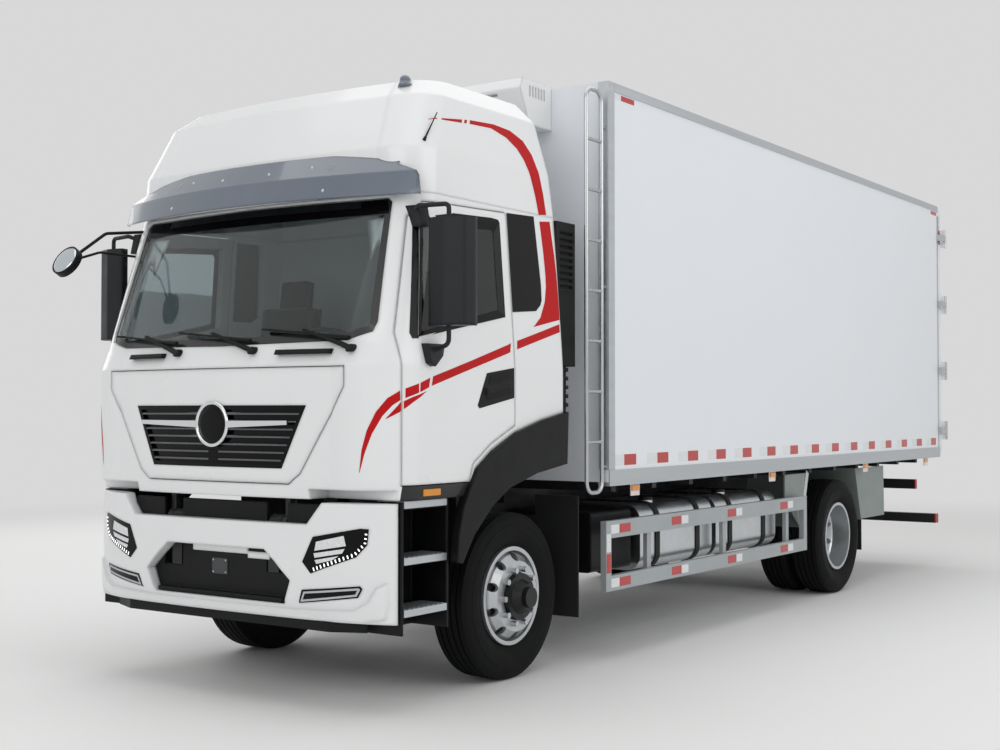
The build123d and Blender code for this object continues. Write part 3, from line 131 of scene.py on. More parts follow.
mottledLooks = {
    # sprayed enamel over pressed steel: bright, glossy, a faint orange peel
    "whiteEnamel": {
        "shader": {"Coat Weight": 0.35, "Coat Roughness": 0.06}, "tones": ("#e9ebec", "#f1f2f3"),
        "blotchMm": 900, "roughness": (0.26, 0.36), "grainMm": 9, "depthMm": 0.05, "bump": 0.15,
        "edgeMm": 28},
    # glass-fibre sandwich skin: smooth gel coat, slightly blue, long soft waves
    "panelGelcoat": {
        "shader": {"Coat Weight": 0.15, "Coat Roughness": 0.2}, "tones": ("#e6eaef", "#eceff3"),
        "blotchMm": 1400, "roughness": (0.36, 0.46), "grainMm": 350, "depthMm": 0.5, "bump": 0.25},
    # satin chassis enamel: near black, a little road dust in patches
    "chassisEnamel": {
        "shader": {"Coat Weight": 0.1}, "tones": ("#101113", "#1b1c1d"),
        "blotchMm": 160, "roughness": (0.45, 0.7), "grainMm": 6, "depthMm": 0.1},
    # baked silver enamel on wheel discs: fine metallic flake
    "wheelEnamel": {
        "shader": {"Metallic": 0.75, "Coat Weight": 0.3}, "tones": ("#b9bcbf", "#cfd2d4"),
        "blotchMm": 60, "roughness": (0.28, 0.4), "grainMm": 3, "depthMm": 0.05},
    # silver-grey sprayed guard paint: low gloss, dusted
    "guardEnamel": {
        "shader": {"Metallic": 0.35}, "tones": ("#9fa5a8", "#b4b9bb"),
        "blotchMm": 240, "roughness": (0.4, 0.52), "grainMm": 5, "depthMm": 0.06},
    # extruded anodised aluminium: pale, with die lines along the length
    "railAluminium": {
        "shader": {"Metallic": 0.9}, "tones": ("#b8bdc1", "#cbcfd2"), "stretch": (1, 0.02, 1),
        "blotchMm": 30, "roughness": (0.36, 0.5), "grainMm": 4, "depthMm": 0.08},
    # rolled tank sheet: brighter mill finish, streaked along the tank
    "tankAluminium": {
        "shader": {"Metallic": 1.0}, "tones": ("#c3c7ca", "#d6d9db"), "stretch": (1, 0.04, 1),
        "blotchMm": 40, "roughness": (0.24, 0.38), "grainMm": 5, "depthMm": 0.06},
    # drawn stainless tube: cool, bright, fine brushing
    "drawnStainless": {
        "shader": {"Metallic": 1.0}, "tones": ("#b3b6b8", "#c6c8ca"), "stretch": (1, 1, 0.04),
        "blotchMm": 25, "roughness": (0.22, 0.34), "grainMm": 3, "depthMm": 0.04},
    # sand-cast iron under thin paint: grainy and dull
    "castIron": {
        "shader": {"Metallic": 0.2}, "tones": ("#222324", "#333435"),
        "blotchMm": 70, "roughness": (0.62, 0.8), "grainMm": 5, "depthMm": 0.5, "bump": 0.5},
    # grained black polypropylene: moulded trim, soft sheen; grain drawn coarse so that it shows
    "blackMoulding": {
        "shader": {"IOR": 1.49, "Specular IOR Level": 0.22}, "tones": ("#0b0c0d", "#131416"),
        "blotchMm": 180, "roughness": (0.42, 0.56), "grainMm": 4, "depthMm": 0.15, "bump": 0.3,
        "edgeMm": 18},
    # smooth black moulding: mirror-like trim
    "glossMoulding": {
        "shader": {"Coat Weight": 0.05, "Specular IOR Level": 0.16}, "tones": ("#030304", "#060607"),
        "blotchMm": 300, "roughness": (0.16, 0.24), "grainMm": 12, "depthMm": 0.03, "bump": 0.1},
    # dark smoked acrylic sheet: deep, blue-grey and very glossy
    "smokedAcrylic": {
        "shader": {"Coat Weight": 0.8, "Coat Roughness": 0.03, "IOR": 1.49},
        "tones": ("#5d6774", "#6b7583"), "blotchMm": 500, "roughness": (0.1, 0.16),
        "grainMm": 120, "depthMm": 0.3, "bump": 0.1, "edgeMm": 20},
    # moulded cab trim: mid grey and dull, with a leathery grain
    "cabTrim": {
        "shader": {"IOR": 1.49}, "tones": ("#3c3e41", "#4a4c4f"),
        "blotchMm": 200, "roughness": (0.55, 0.7), "grainMm": 4, "depthMm": 0.2, "bump": 0.35},
    # calendered vinyl stripe: flat saturated red
    "redVinyl": {
        "shader": {"Specular IOR Level": 0.15}, "tones": ("#b80e13", "#c4171c"),
        "blotchMm": 200, "roughness": (0.28, 0.36), "grainMm": 20, "depthMm": 0.02, "bump": 0.1},
    # plated steel: bright and cold
    "platedChrome": {
        "shader": {"Metallic": 1.0}, "tones": ("#dfe2e4", "#e8eaeb"),
        "blotchMm": 80, "roughness": (0.06, 0.12), "grainMm": 20, "depthMm": 0.02, "bump": 0.1},
    # silvered mirror glass: a clear, cool reflection
    "silveredGlass": {
        "shader": {"Metallic": 1.0}, "tones": ("#c9d2d6", "#d3dade"),
        "blotchMm": 300, "roughness": (0.02, 0.05), "grainMm": 90, "depthMm": 0.02, "bump": 0.05},
    # ceramic frit fired onto the screen edge: flat black
    "ceramicFrit": {
        "shader": {"Coat Weight": 0.6, "Coat Roughness": 0.03}, "tones": ("#08090a", "#0c0d0e"),
        "blotchMm": 120, "roughness": (0.3, 0.4), "grainMm": 6, "depthMm": 0.02, "bump": 0.1},
    # satin mirror shells: charcoal moulding with rounded edges
    "mirrorMoulding": {
        "shader": {"IOR": 1.49, "Specular IOR Level": 0.25}, "tones": ("#1c1e21", "#26292d"),
        "blotchMm": 200, "roughness": (0.4, 0.55), "grainMm": 4, "depthMm": 0.12, "edgeMm": 30},
    # silvered lamp bowl: bright and uneven behind the lens
    "silveredBowl": {
        "shader": {"Metallic": 0.35}, "tones": ("#dcdfe2", "#f2f4f5"),
        "blotchMm": 18, "roughness": (0.18, 0.3), "grainMm": 6, "depthMm": 0.05},
    # grey strips on the black grille slats: a painted highlight for the light their edges catch
    "slatEdgeHighlightPaint": {
        "shader": {"Coat Weight": 0.4}, "tones": ("#45484b", "#565a5e"),
        "blotchMm": 120, "roughness": (0.18, 0.3), "grainMm": 3, "depthMm": 0.02},
}
finish = {name: mottled(name, look) for name, look in mottledLooks.items()}


def tyreFinish(name):
    # cured tyre rubber: charcoal and dry, with fine moulded rings round each side wall
    material, tree, shader, place = newFinish(name, {"IOR": 1.52, "Specular IOR Level": 0.15})
    dust = addNode(tree, "ShaderNodeTexNoise", {"Vector": place, "Scale": perMetre(90),
                                                "Detail": 5.0}).outputs["Fac"]
    tone = addNode(tree, "ShaderNodeMix", {0: dust, 6: linear("#08090a"), 7: linear("#131415")}, data_type="RGBA")
    gloss = addNode(tree, "ShaderNodeMapRange", {"Value": dust, "To Min": 0.58, "To Max": 0.86})
    rings = []
    for centreY in (axleY, rearAxleY):
        centred = addNode(tree, "ShaderNodeMapping", {"Vector": place, "Location": (0, -centreY, -axleZ),
                                                      "Scale": (0, 1, 1)})
        ring = addNode(tree, "ShaderNodeTexWave", {"Vector": centred.outputs[0], "Scale": perMetre(60)},
                       wave_type="RINGS", rings_direction="X")
        rings.append(ring.outputs["Fac"])
    axes = addNode(tree, "ShaderNodeSeparateXYZ", {"Vector": place})
    isRear = addNode(tree, "ShaderNodeMath", {0: axes.outputs["Y"], 1: (axleY + rearAxleY) / 2},
                     operation="GREATER_THAN")
    pick = addNode(tree, "ShaderNodeMix", {0: isRear.outputs[0], 2: rings[0], 3: rings[1]})
    bump = addNode(tree, "ShaderNodeBump", {"Height": pick.outputs[0], "Strength": 0.25, "Distance": 0.002})
    wire(shader, {"Base Color": tone.outputs[2], "Roughness": gloss.outputs[0], "Normal": bump.outputs[0]})
    return material


def clearGlass(name, look):
    # drawn glass or clear acrylic: the faintest waviness and a sprinkle of dust
    material, tree, shader, place = newFinish(name, {"Base Color": look["tint"], "Transmission Weight": 1.0,
                                                     "IOR": 1.45})
    wave = addNode(tree, "ShaderNodeTexNoise", {"Vector": place, "Scale": perMetre(look["waveMm"])}).outputs["Fac"]
    bump = addNode(tree, "ShaderNodeBump", {"Height": wave, "Strength": 0.02, "Distance": 0.0005})
    dust = addNode(tree, "ShaderNodeMapRange", {"Value": wave, "To Min": 0.0, "To Max": 0.03})
    wire(shader, {"Normal": bump.outputs[0], "Roughness": dust.outputs[0]})
    return material


def prismTape(name, tones):
    # retroreflective tape: small sealed cells under a glossy film; cells drawn at 9 mm so that they show
    material, tree, shader, place = newFinish(name, {"Coat Weight": 0.5, "Coat Roughness": 0.1, "Roughness": 0.35})
    cells = addNode(tree, "ShaderNodeTexVoronoi", {"Vector": place, "Scale": perMetre(9)},
                    feature="DISTANCE_TO_EDGE")
    edge = addNode(tree, "ShaderNodeMapRange", {"Value": cells.outputs["Distance"], "From Max": 0.08}).outputs[0]
    tone = addNode(tree, "ShaderNodeMix", {0: edge, 6: linear(tones[0]), 7: linear(tones[1])}, data_type="RGBA")
    bump = addNode(tree, "ShaderNodeBump", {"Height": edge, "Strength": 0.2, "Distance": 0.0006})
    wire(shader, {"Base Color": tone.outputs[2], "Normal": bump.outputs[0]})
    return material


def fluted(name, hexText, glow):
    # moulded lamp lens: coloured acrylic over a grid of small prisms
    material, tree, shader, place = newFinish(name, {
        "Base Color": hexText, "Roughness": 0.12, "Coat Weight": 0.6, "IOR": 1.49,
        "Emission Color": hexText, "Emission Strength": glow})
    grid = addNode(tree, "ShaderNodeTexVoronoi", {"Vector": place, "Scale": perMetre(12), "Randomness": 0},
                   distance="CHEBYCHEV")
    bump = addNode(tree, "ShaderNodeBump", {"Height": grid.outputs["Distance"], "Strength": 0.5, "Distance": 0.002})
    wire(shader, {"Normal": bump.outputs[0]})
    return material


def wovenCloth(name):
    # flat-woven seat cloth: dark grey threads; the weave is drawn at 6 mm so that it shows
    material, tree, shader, place = newFinish(name, {"Sheen Weight": 0.4, "Sheen Roughness": 0.5, "Roughness": 0.85})
    warp, weft = [addNode(tree, "ShaderNodeTexWave", {"Vector": place, "Scale": perMetre(19)},
                          bands_direction=way).outputs["Fac"] for way in ("X", "DIAGONAL")]
    cross = addNode(tree, "ShaderNodeMath", {0: warp, 1: weft}, operation="MULTIPLY").outputs[0]
    tone = addNode(tree, "ShaderNodeMix", {0: cross, 6: linear("#1d1f22"), 7: linear("#2b2d31")}, data_type="RGBA")
    bump = addNode(tree, "ShaderNodeBump", {"Height": cross, "Strength": 0.2, "Distance": 0.0005})
    wire(shader, {"Base Color": tone.outputs[2], "Normal": bump.outputs[0]})
    return material


def splitFinish(name, look):
    # one CAD piece in two finishes: the second shows inside the zones given, in mm from the front axle
    material, tree, shader, place = newFinish(name, look.get("shader", {}))
    axes = addNode(tree, "ShaderNodeSeparateXYZ", {"Vector": place})
    total = None
    for zone in look["zones"]:
        inside = None
        for key, limits in zone.items():
            if key == "hub":  # round the axle at this y, inside this radius in metres
                centred = addNode(tree, "ShaderNodeMapping", {"Vector": place, "Scale": (0, 1, 1),
                                                              "Location": (0, -limits[0], -axleZ)})
                away = addNode(tree, "ShaderNodeVectorMath", {0: centred.outputs[0]}, operation="LENGTH")
                tests = [("LESS_THAN", away.outputs["Value"], limits[1])]
            else:
                low, high = [limit / 1000 + (axleY if key == "Y" else 0) for limit in limits]
                tests = [("GREATER_THAN", axes.outputs[key], low), ("LESS_THAN", axes.outputs[key], high)]
            for way, value, limit in tests:
                test = addNode(tree, "ShaderNodeMath", {0: value, 1: limit}, operation=way).outputs[0]
                inside = test if inside is None else addNode(
                    tree, "ShaderNodeMath", {0: inside, 1: test}, operation="MULTIPLY").outputs[0]
        total = inside if total is None else addNode(
            tree, "ShaderNodeMath", {0: total, 1: inside}, operation="MAXIMUM").outputs[0]
    blotch = addNode(tree, "ShaderNodeTexNoise", {"Vector": place, "Scale": perMetre(look["blotchMm"]),
                                                  "Detail": 4.0}).outputs["Fac"]
    pair = (look["first"], look["second"])
    tones = [addNode(tree, "ShaderNodeMix", {0: blotch, 6: linear(part["tones"][0]), 7: linear(part["tones"][1])},
                     data_type="RGBA").outputs[2] for part in pair]
    tone = addNode(tree, "ShaderNodeMix", {0: total, 6: tones[0], 7: tones[1]}, data_type="RGBA")
    wire(shader, {"Base Color": tone.outputs[2]})
    for key in ("Roughness", "Metallic"):
        mix = addNode(tree, "ShaderNodeMapRange", {"Value": total, "To Min": pair[0][key], "To Max": pair[1][key]})
        wire(shader, {key: mix.outputs[0]})
    grain = addNode(tree, "ShaderNodeTexNoise", {"Vector": place, "Scale": perMetre(5), "Detail": 2.0})
    bump = addNode(tree, "ShaderNodeBump", {"Height": grain.outputs["Fac"], "Strength": 0.15, "Distance": 0.0001})
    softenEdges(tree, bump, look.get("edgeMm", 0))
    wire(shader, {"Normal": bump.outputs[0]})
    return material


finish["tyreRubber"] = tyreFinish("tyreRubber")
finish["seatCloth"] = wovenCloth("seatCloth")
for name, look in {"tintedCabGlass": {"tint": "#dfe8e8", "waveMm": 400},
                   "smokedSideGlass": {"tint": "#5d6668", "waveMm": 400},
                   "clearLampLens": {"tint": "#f4f7f8", "waveMm": 120}}.items():
    finish[name] = clearGlass(name, look)
for name, tones in {"redPrismTape": ("#8d1411", "#c0221d"),
                    "whitePrismTape": ("#c3c6c8", "#e9ebec")}.items():
    finish[name] = prismTape(name, tones)
for name, hexText, glow in (("redLens", "#a81410", 0.0), ("amberLens", "#dd8c14", 0.0),
                            ("whiteMarkerLens", "#e3d6d3", 0.0), ("whiteLedStrip", "#ffffff", 1.2)):
    finish[name] = fluted(name, hexText, glow)

slotFinish = {
    "white_enamel": "whiteEnamel", "panel_gelcoat": "panelGelcoat", "chassis_enamel": "chassisEnamel",
    "wheel_enamel": "wheelEnamel", "guard_enamel": "guardEnamel", "rail_aluminium": "railAluminium",
    "tank_aluminium": "tankAluminium", "stainless": "drawnStainless", "cast_iron": "castIron",
    "tyre_rubber": "tyreRubber", "black_moulding": "blackMoulding", "gloss_black": "glossMoulding",
    "smoked_acrylic": "smokedAcrylic", "cab_glass_tint": "tintedCabGlass", "lamp_lens": "clearLampLens",
    "red_lens": "redLens", "cab_trim": "cabTrim", "seat_cloth": "seatCloth"}
nodeFinish = {  # nodes that differ from their slot
    "door_glass_left": "smokedSideGlass", "door_glass_right": "smokedSideGlass", "headlamps": "glossMoulding",
    "mirror_left": "mirrorMoulding", "mirror_right": "mirrorMoulding"}

blackRubber = {"tones": ("#0a0b0c", "#141516"), "Roughness": 0.7, "Metallic": 0.0}
whitePaint = {"tones": ("#e9ebec", "#f1f2f3"), "Roughness": 0.3, "Metallic": 0.0}
brightSteel = {"tones": ("#b3b6b8", "#c6c8ca"), "Roughness": 0.28, "Metallic": 1.0}
tankRuns, strapShares, strapHalf = ((1469, 2580), (2650, 3759)), (0.22, 0.78), 32
strapPlaces = [run[0] + share * (run[1] - run[0]) for run in tankRuns for share in strapShares]
splits = {
    # painted guard sheets, grey with a green cast, and moulded rubber flaps
    "mudguards": {
        "name": "guardSheetAndRubber", "blotchMm": 200, "second": blackRubber,
        "first": {"tones": ("#7f8884", "#929b97"), "Roughness": 0.45, "Metallic": 0.2},
        "zones": [{"Y": (600, 700)}, {"Y": (4000, 7000), "Z": (0, 612)}]},
    # mill-finish tank shells under black steel straps, with black filler caps
    "fuel_tanks": {
        "name": "strappedTankSheet", "blotchMm": 90, "second": blackRubber,
        "first": {"tones": ("#c3c7ca", "#d6d9db"), "Roughness": 0.3, "Metallic": 1.0},
        "zones": [{"Y": (y - strapHalf, y + strapHalf)} for y in strapPlaces] + [{"Z": (990, 1100)}]},
    # glass-fibre leaf, with stainless lock rods and hinge straps on its face
    "rear_door": {
        "name": "doorGelcoatAndSteel", "blotchMm": 900, "second": brightSteel,
        "first": {"tones": ("#e6eaef", "#eceff3"), "Roughness": 0.4, "Metallic": 0.0},
        "zones": [{"Y": (7772, 8000)}]},
    # enamelled pressed cab with a black sill and underbody
    "cab_shell": {
        "name": "cabEnamel", "blotchMm": 900, "edgeMm": 28, "first": whitePaint, "second": blackRubber,
        "shader": {"Coat Weight": 0.35, "Coat Roughness": 0.06},
        "zones": [{"Z": (0, 1149)}, {"Y": (-1214, -500), "Z": (1100, 1229)}]},
    # baked silver wheel discs round a black hub
    "rim": {
        "name": "wheelDiscEnamel", "blotchMm": 60,
        "first": {"tones": ("#b9bcbf", "#cfd2d4"), "Roughness": 0.33, "Metallic": 0.8},
        "second": {"tones": ("#121314", "#1d1e20"), "Roughness": 0.4, "Metallic": 0.3},
        "zones": [{"hub": (axleY, 0.146)}, {"hub": (rearAxleY, 0.125)}]},
    # black guard bars with painted red ends
    "underride_guard": {
        "name": "guardBarEnamel", "blotchMm": 160,
        "first": {"tones": ("#0d0e0f", "#18191b"), "Roughness": 0.55, "Metallic": 0.1},
        "second": {"tones": ("#8d1411", "#a81f1a"), "Roughness": 0.4, "Metallic": 0.0},
        "zones": [{"X": (1262, 1300)}, {"X": (-1300, -1262)},
                  {"X": (1048, 1080), "Z": (780, 920)}, {"X": (-1080, -1048), "Z": (780, 920)}]},
}


def dressFrame():
    for part in frame["record"]["subparts"]:
        slots = cad[part["node"]].data.materials
        slots.clear()
        slots.append(finish[nodeFinish.get(part["node"]) or slotFinish[part["material_slot"]]])
    for start, look in splits.items():
        material = splitFinish(look["name"], look)
        for node in cad:
            if node.startswith(start):
                cad[node].data.materials[0] = material
    print("frame dressed:", len(cad), "nodes")


dressFrame()

camera = {"place": (5866, -7016, 1635), "yaw": 0.60742, "pitch": 0.025135, "lens": 50.077}
stage = {"floor": "#f6f6f5", "wall": "#d8d8d8", "reach": 60.0, "fade": (8.0, 16.0), "glow": 0.5}


def setCamera(look):
    lens = bpy.data.cameras.new("photoCamera")
    lens.sensor_width = 36
    lens.sensor_fit = "HORIZONTAL"
    lens.lens = look["lens"]
    lens.clip_end = 200
    shot = bpy.data.objects.new("photoCamera", lens)
    scene.collection.objects.link(shot)
    shot.location = at(*look["place"])
    shot.rotation_euler = (math.pi / 2 + look["pitch"], 0, look["yaw"])
    scene.camera = shot


def setStage(look):
    mesh = bmesh.new()
    bmesh.ops.create_circle(mesh, cap_ends=True, segments=96, radius=look["reach"])
    data = bpy.data.meshes.new("studioFloor")
    mesh.to_mesh(data)
    mesh.free()
    floor = bpy.data.objects.new("studioFloor", data)
    scene.collection.objects.link(floor)
    # painted studio floor: pale, even, and it fades into the backdrop far from the truck
    material, tree, shader, place = newFinish("studioFloor", {"Base Color": look["floor"], "Roughness": 0.7})
    far = addNode(tree, "ShaderNodeVectorMath", {0: place}, operation="LENGTH")
    near, away = look["fade"]
    fade = addNode(tree, "ShaderNodeMapRange", {"Value": far.outputs["Value"], "From Min": near, "From Max": away},
                   interpolation_type="SMOOTHSTEP")
    wall = addNode(tree, "ShaderNodeEmission", {"Color": linear(look["wall"])})
    mix = addNode(tree, "ShaderNodeMixShader", {0: fade.outputs[0], 1: shader.outputs[0], 2: wall.outputs[0]})
    wire(tree.nodes["Material Output"], {"Surface": mix.outputs[0]})
    data.materials.append(material)

    world = bpy.data.worlds.new("studioWorld")
    scene.world = world
    world.use_nodes = True
    tree = world.node_tree
    soft = tree.nodes["Background"]
    wire(soft, {"Color": linear("#ffffff"), "Strength": look["glow"]})
    seen = addNode(tree, "ShaderNodeBackground", {"Color": linear(look["wall"]), "Strength": 1.0})
    ray = addNode(tree, "ShaderNodeLightPath")
    straight = addNode(tree, "ShaderNodeMath", {0: ray.outputs["Is Camera Ray"], 1: ray.outputs["Is Glossy Ray"]},
                       operation="ADD")
    straight = addNode(tree, "ShaderNodeMath", {0: straight.outputs[0], 1: ray.outputs["Is Transmission Ray"]},
                       operation="ADD", use_clamp=True)
    mix = addNode(tree, "ShaderNodeMixShader", {0: straight.outputs[0], 1: soft.outputs[0], 2: seen.outputs[0]})
    wire(tree.nodes["World Output"], {"Surface": mix.outputs[0]})


lamps = (
    {"name": "topSoftbox", "place": (0.0, 0.0, 9.0), "aim": (0.0, 0.0, 0.0),
     "size": (9.0, 14.0), "watts": 300},
    {"name": "frontSoftbox", "place": (1.5, -13.0, 5.5), "aim": (0.0, -4.0, 1.8),
     "size": (8.0, 5.0), "watts": 185},
    {"name": "sideSoftbox", "place": (12.0, -1.0, 6.0), "aim": (0.0, 0.5, 1.8),
     "size": (12.0, 5.0), "watts": 305},
    {"name": "farSoftbox", "place": (-12.0, 2.0, 6.0), "aim": (0.0, 0.5, 1.8),
     "size": (12.0, 5.0), "watts": 240},
)


def setLamps():
    for lamp in lamps:
        light = bpy.data.lights.new(lamp["name"], "AREA")
        light.shape = "RECTANGLE"
        light.size, light.size_y = lamp["size"]
        light.energy = lamp["watts"]
        shot = bpy.data.objects.new(lamp["name"], light)
        scene.collection.objects.link(shot)
        shot.location = lamp["place"]
        aim = Vector(lamp["aim"]) - Vector(lamp["place"])
        shot.rotation_euler = aim.to_track_quat("-Z", "Y").to_euler()


setCamera(camera)
setStage(stage)
setLamps()
print("stage set")


def newPiece(mesh, name, body, finishes, smooth=False):
    data = bpy.data.meshes.new(name)
    if smooth:
        for face in mesh.faces:
            face.smooth = True
    mesh.to_mesh(data)
    mesh.free()
    piece = bpy.data.objects.new(name, data)
    scene.collection.objects.link(piece)
    for key in finishes:
        data.materials.append(finish[key])
    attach(piece, body)
    return piece


def addBox(mesh, a, b, edge=0.002, finishIndex=0, turn=None):
    # a bevelled plate or bar between two corners, turned about its middle if asked
    low, high = Vector(map(min, a, b)), Vector(map(max, a, b))
    made = bmesh.ops.create_cube(mesh, size=1)["verts"]
    bmesh.ops.scale(mesh, vec=high - low, verts=made)
    edges = list({e for v in made for e in v.link_edges})
    made = bmesh.ops.bevel(mesh, geom=edges, offset=edge, segments=2, profile=0.5, affect="EDGES",
                           material=-1)["verts"]
    if turn:
        bmesh.ops.rotate(mesh, matrix=turn, cent=(0, 0, 0), verts=made)
    bmesh.ops.translate(mesh, vec=(low + high) / 2, verts=made)
    for face in {f for v in made for f in v.link_faces}:
        face.material_index = finishIndex


def addPlate(mesh, side, shape, y=0, z=0, finishIndex=0):
    # a box on one side of the truck: two corners in mm and an edge radius in metres, moved by y and z
    (x0, y0, z0), (x1, y1, z1), edge = shape
    addBox(mesh, at(side * x0, y0 + y, z0 + z), at(side * x1, y1 + y, z1 + z), edge, finishIndex)


def addRod(mesh, start, end, radius, endRadius=None, segments=16, edge=0.0):
    run = end - start
    place = Matrix.Translation((start + end) / 2) @ run.to_track_quat("Z", "Y").to_matrix().to_4x4()
    made = bmesh.ops.create_cone(mesh, cap_ends=True, segments=segments, radius1=radius,
                                 radius2=radius if endRadius is None else endRadius,
                                 depth=run.length, matrix=place)["verts"]
    faces = {f for v in made for f in v.link_faces}
    if edge:
        rims = [e for f in faces if len(f.verts) > 4 for e in f.edges]
        made = bmesh.ops.bevel(mesh, geom=rims, offset=edge, segments=2, profile=0.5, affect="EDGES",
                               material=-1)["verts"]
        faces |= {f for v in made if v.is_valid for f in v.link_faces}
    for face in faces:
        if face.is_valid:
            face.smooth = len(face.verts) == 4


def surfaceOf(*names):
    mesh = bmesh.new()
    for name in names:
        mesh.from_mesh(cad[name].data)
    tree = BVHTree.FromBMesh(mesh)
    mesh.free()
    return tree


def touch(surface, place, facing, clear=0.4, reach=1.2):  # where a ray from outside lands, or else the nearest point
    return surface.ray_cast(place + facing * clear, -facing, reach)[0] or surface.find_nearest(place)[0]


def faceOut(mesh, facing):  # turns a skin's faces to the outside
    bmesh.ops.recalc_face_normals(mesh, faces=mesh.faces)
    if sum(f.normal.dot(facing) for f in mesh.faces) < 0:
        bmesh.ops.reverse_faces(mesh, faces=mesh.faces)


def layFilm(name, rows, carriers, finishKey, side, lift=0.0012, steps=6, across=3):
    # a strip of film between two edges, split where it crosses from one moving panel to the next
    grid = bmesh.new()
    bmesh.ops.create_grid(grid, x_segments=(len(rows) - 1) * steps, y_segments=across, size=1)
    for v in grid.verts:
        along = (v.co.x + 1) / 2 * (len(rows) - 1)
        i = min(int(along), len(rows) - 2)
        t = along - i
        a = at(*rows[i][0]).lerp(at(*rows[i + 1][0]), t)
        b = at(*rows[i][1]).lerp(at(*rows[i + 1][1]), t)
        v.co = a.lerp(b, (v.co.y + 1) / 2)
        v.co.x *= side
    surfaces = {body: surfaceOf(*names) for body, names in carriers.items()}
    owner = {}
    for face in grid.faces:
        middle = face.calc_center_median()
        owner[face.index] = min(surfaces, key=lambda body: surfaces[body].find_nearest(middle)[3])
    for body in surfaces:
        mesh = grid.copy()
        mesh.faces.ensure_lookup_table()
        others = [f for f in mesh.faces if owner[f.index] != body]
        bmesh.ops.delete(mesh, geom=others, context="FACES")
        if not mesh.faces:
            mesh.free()
            continue
        for v in mesh.verts:
            spot, normal, _, _ = surfaces[body].find_nearest(v.co)
            outward = normal if normal.x * side > -0.2 else -normal
            v.co = spot + outward * lift
        faceOut(mesh, Vector((side, 0, 0)))
        newPiece(mesh, name + "_" + body, body, [finishKey], smooth=True)
    grid.free()


# Red side stripes: a swoosh from the front corner to the back of the door, a wedge under it,
# a band up behind the quarter glass and a tapering line round the roof. Rows give both edges, in mm.
stripes = {
    "swoosh": [((1029, -1368, 1302), (1031, -1366, 1302)), ((1041, -1362, 1424), (1056, -1356, 1404)),
               ((1065, -1349, 1526), (1089, -1335, 1508)), ((1106, -1324, 1625), (1133, -1302, 1603)),
               ((1150, -1282, 1698), (1169, -1262, 1660)), ((1193, -1228, 1739), (1195, -1226, 1688)),
               ((1235, -1018, 1811), (1235, -1030, 1758))],
    "door": [((1234, -994, 1818), (1234, -1006, 1766)), ((1231, -620, 1919), (1235, -630, 1870)),
             ((1224, -184, 2040), (1227, -190, 1988))],
    "rear": [((1223, -160, 2046), (1226, -166, 1995)), ((1219, 72, 2105), (1222, 67, 2055)),
             ((1214, 322, 2170), (1217, 322, 2120))],
    "wedge": [((1146, -1291, 1589), (1145, -1287, 1587)), ((1193, -1227, 1673), (1193, -1227, 1625)),
              ((1223, -1157, 1705), (1223, -1157, 1675)), ((1234, -1047, 1738), (1234, -1052, 1735))],
    "quarter": [((1166, 168, 2800), (1165, 286, 2812)), ((1174, 180, 2700), (1176, 300, 2700)),
                ((1181, 190, 2605), (1186, 315, 2600)),
                ((1191, 198, 2478), (1194, 325, 2480)), ((1196, 196, 2399), (1200, 328, 2400)),
                ((1205, 172, 2302), (1206, 330, 2310)),
                ((1212, 112, 2201), (1209, 330, 2240)), ((1215, 27, 2138), (1211, 330, 2198))],
    "roof": [((1089, -853, 3271), (1091, -855, 3268)), ((1111, -562, 3316), (1113, -568, 3295))],
    "roofCut": [((1108, -535, 3319), (1113, -545, 3297)), ((1109, -510, 3322), (1111, -520, 3300))],
    "roofArc": [((1107, -480, 3326), (1111, -490, 3302)), ((1105, -239, 3343), (1109, -271, 3313)),
                ((1107, -67, 3333), (1115, -120, 3280)),
                ((1114, 62, 3290), (1122, -20, 3228)), ((1127, 141, 3214), (1133, 42, 3165)),
                ((1148, 190, 3107), (1150, 93, 3070)),
                ((1156, 228, 2977), (1158, 138, 2949)), ((1164, 252, 2850), (1165, 165, 2842))]}
for side, sideName in sides:
    carriers = {"cab": ("cab_shell", "cab_roof"), "door_%s_body" % sideName: ("door_" + sideName,)}
    for key, rows in stripes.items():
        layFilm("stripe_%s_%s" % (key, sideName), rows, carriers, "redVinyl", side)
print("stripes laid")

# Reflective tape: along the box's lower edge and at its upper corners, and in pairs on the side guards' rails
# and front posts. Each run is two y, two z, and 0 for red or 1 for white.
tape = {"sunk": 0.5, "proud": 1.5, "edge": 0.0006, "gap": 3}
boxTape = {"low": 1271, "high": 1343, "front": 852, "pitch": 457, "count": 15, "redLength": 158, "whiteLength": 145,
           "corners": [(820, 960, 3680, 3715, 1), (964, 1139, 3680, 3715, 0), (820, 870, 3389, 3533, 0),
                       (820, 870, 3537, 3676, 1), (7440, 7615, 3680, 3715, 0), (7619, 7740, 3680, 3715, 1),
                       (7690, 7740, 3389, 3533, 0), (7690, 7740, 3537, 3676, 1)]}
guardTape = {"pairs": ((850, 1105, 0), (1690, 1940, 1), (2590, 2840, 1), (3570, 3820, 1)),
             "rails": ((828, 886), (478, 536)), "share": 0.58, "post": (792, 846, (575, 700), (712, 830))}


def layTape(name, face, runs):
    for side, sideName in sides:
        mesh = bmesh.new()
        for y0, y1, z0, z1, kind in runs:
            shape = ((face - tape["sunk"], y0, z0), (face + tape["proud"], y1, z1), tape["edge"])
            addPlate(mesh, side, shape, finishIndex=kind)
        newPiece(mesh, name + sideName, "chassis", ["redPrismTape", "whitePrismTape"])


def tapeBox(look):
    runs = list(look["corners"])
    for i in range(look["count"]):
        start = look["front"] + i * look["pitch"]
        middle = start + look["whiteLength"]
        runs.append((start, middle - tape["gap"], look["low"], look["high"], 1))
        runs.append((middle, middle + look["redLength"], look["low"], look["high"], 0))
    layTape("box_tape_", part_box("box_side_walls")[1].x * 1000, runs)


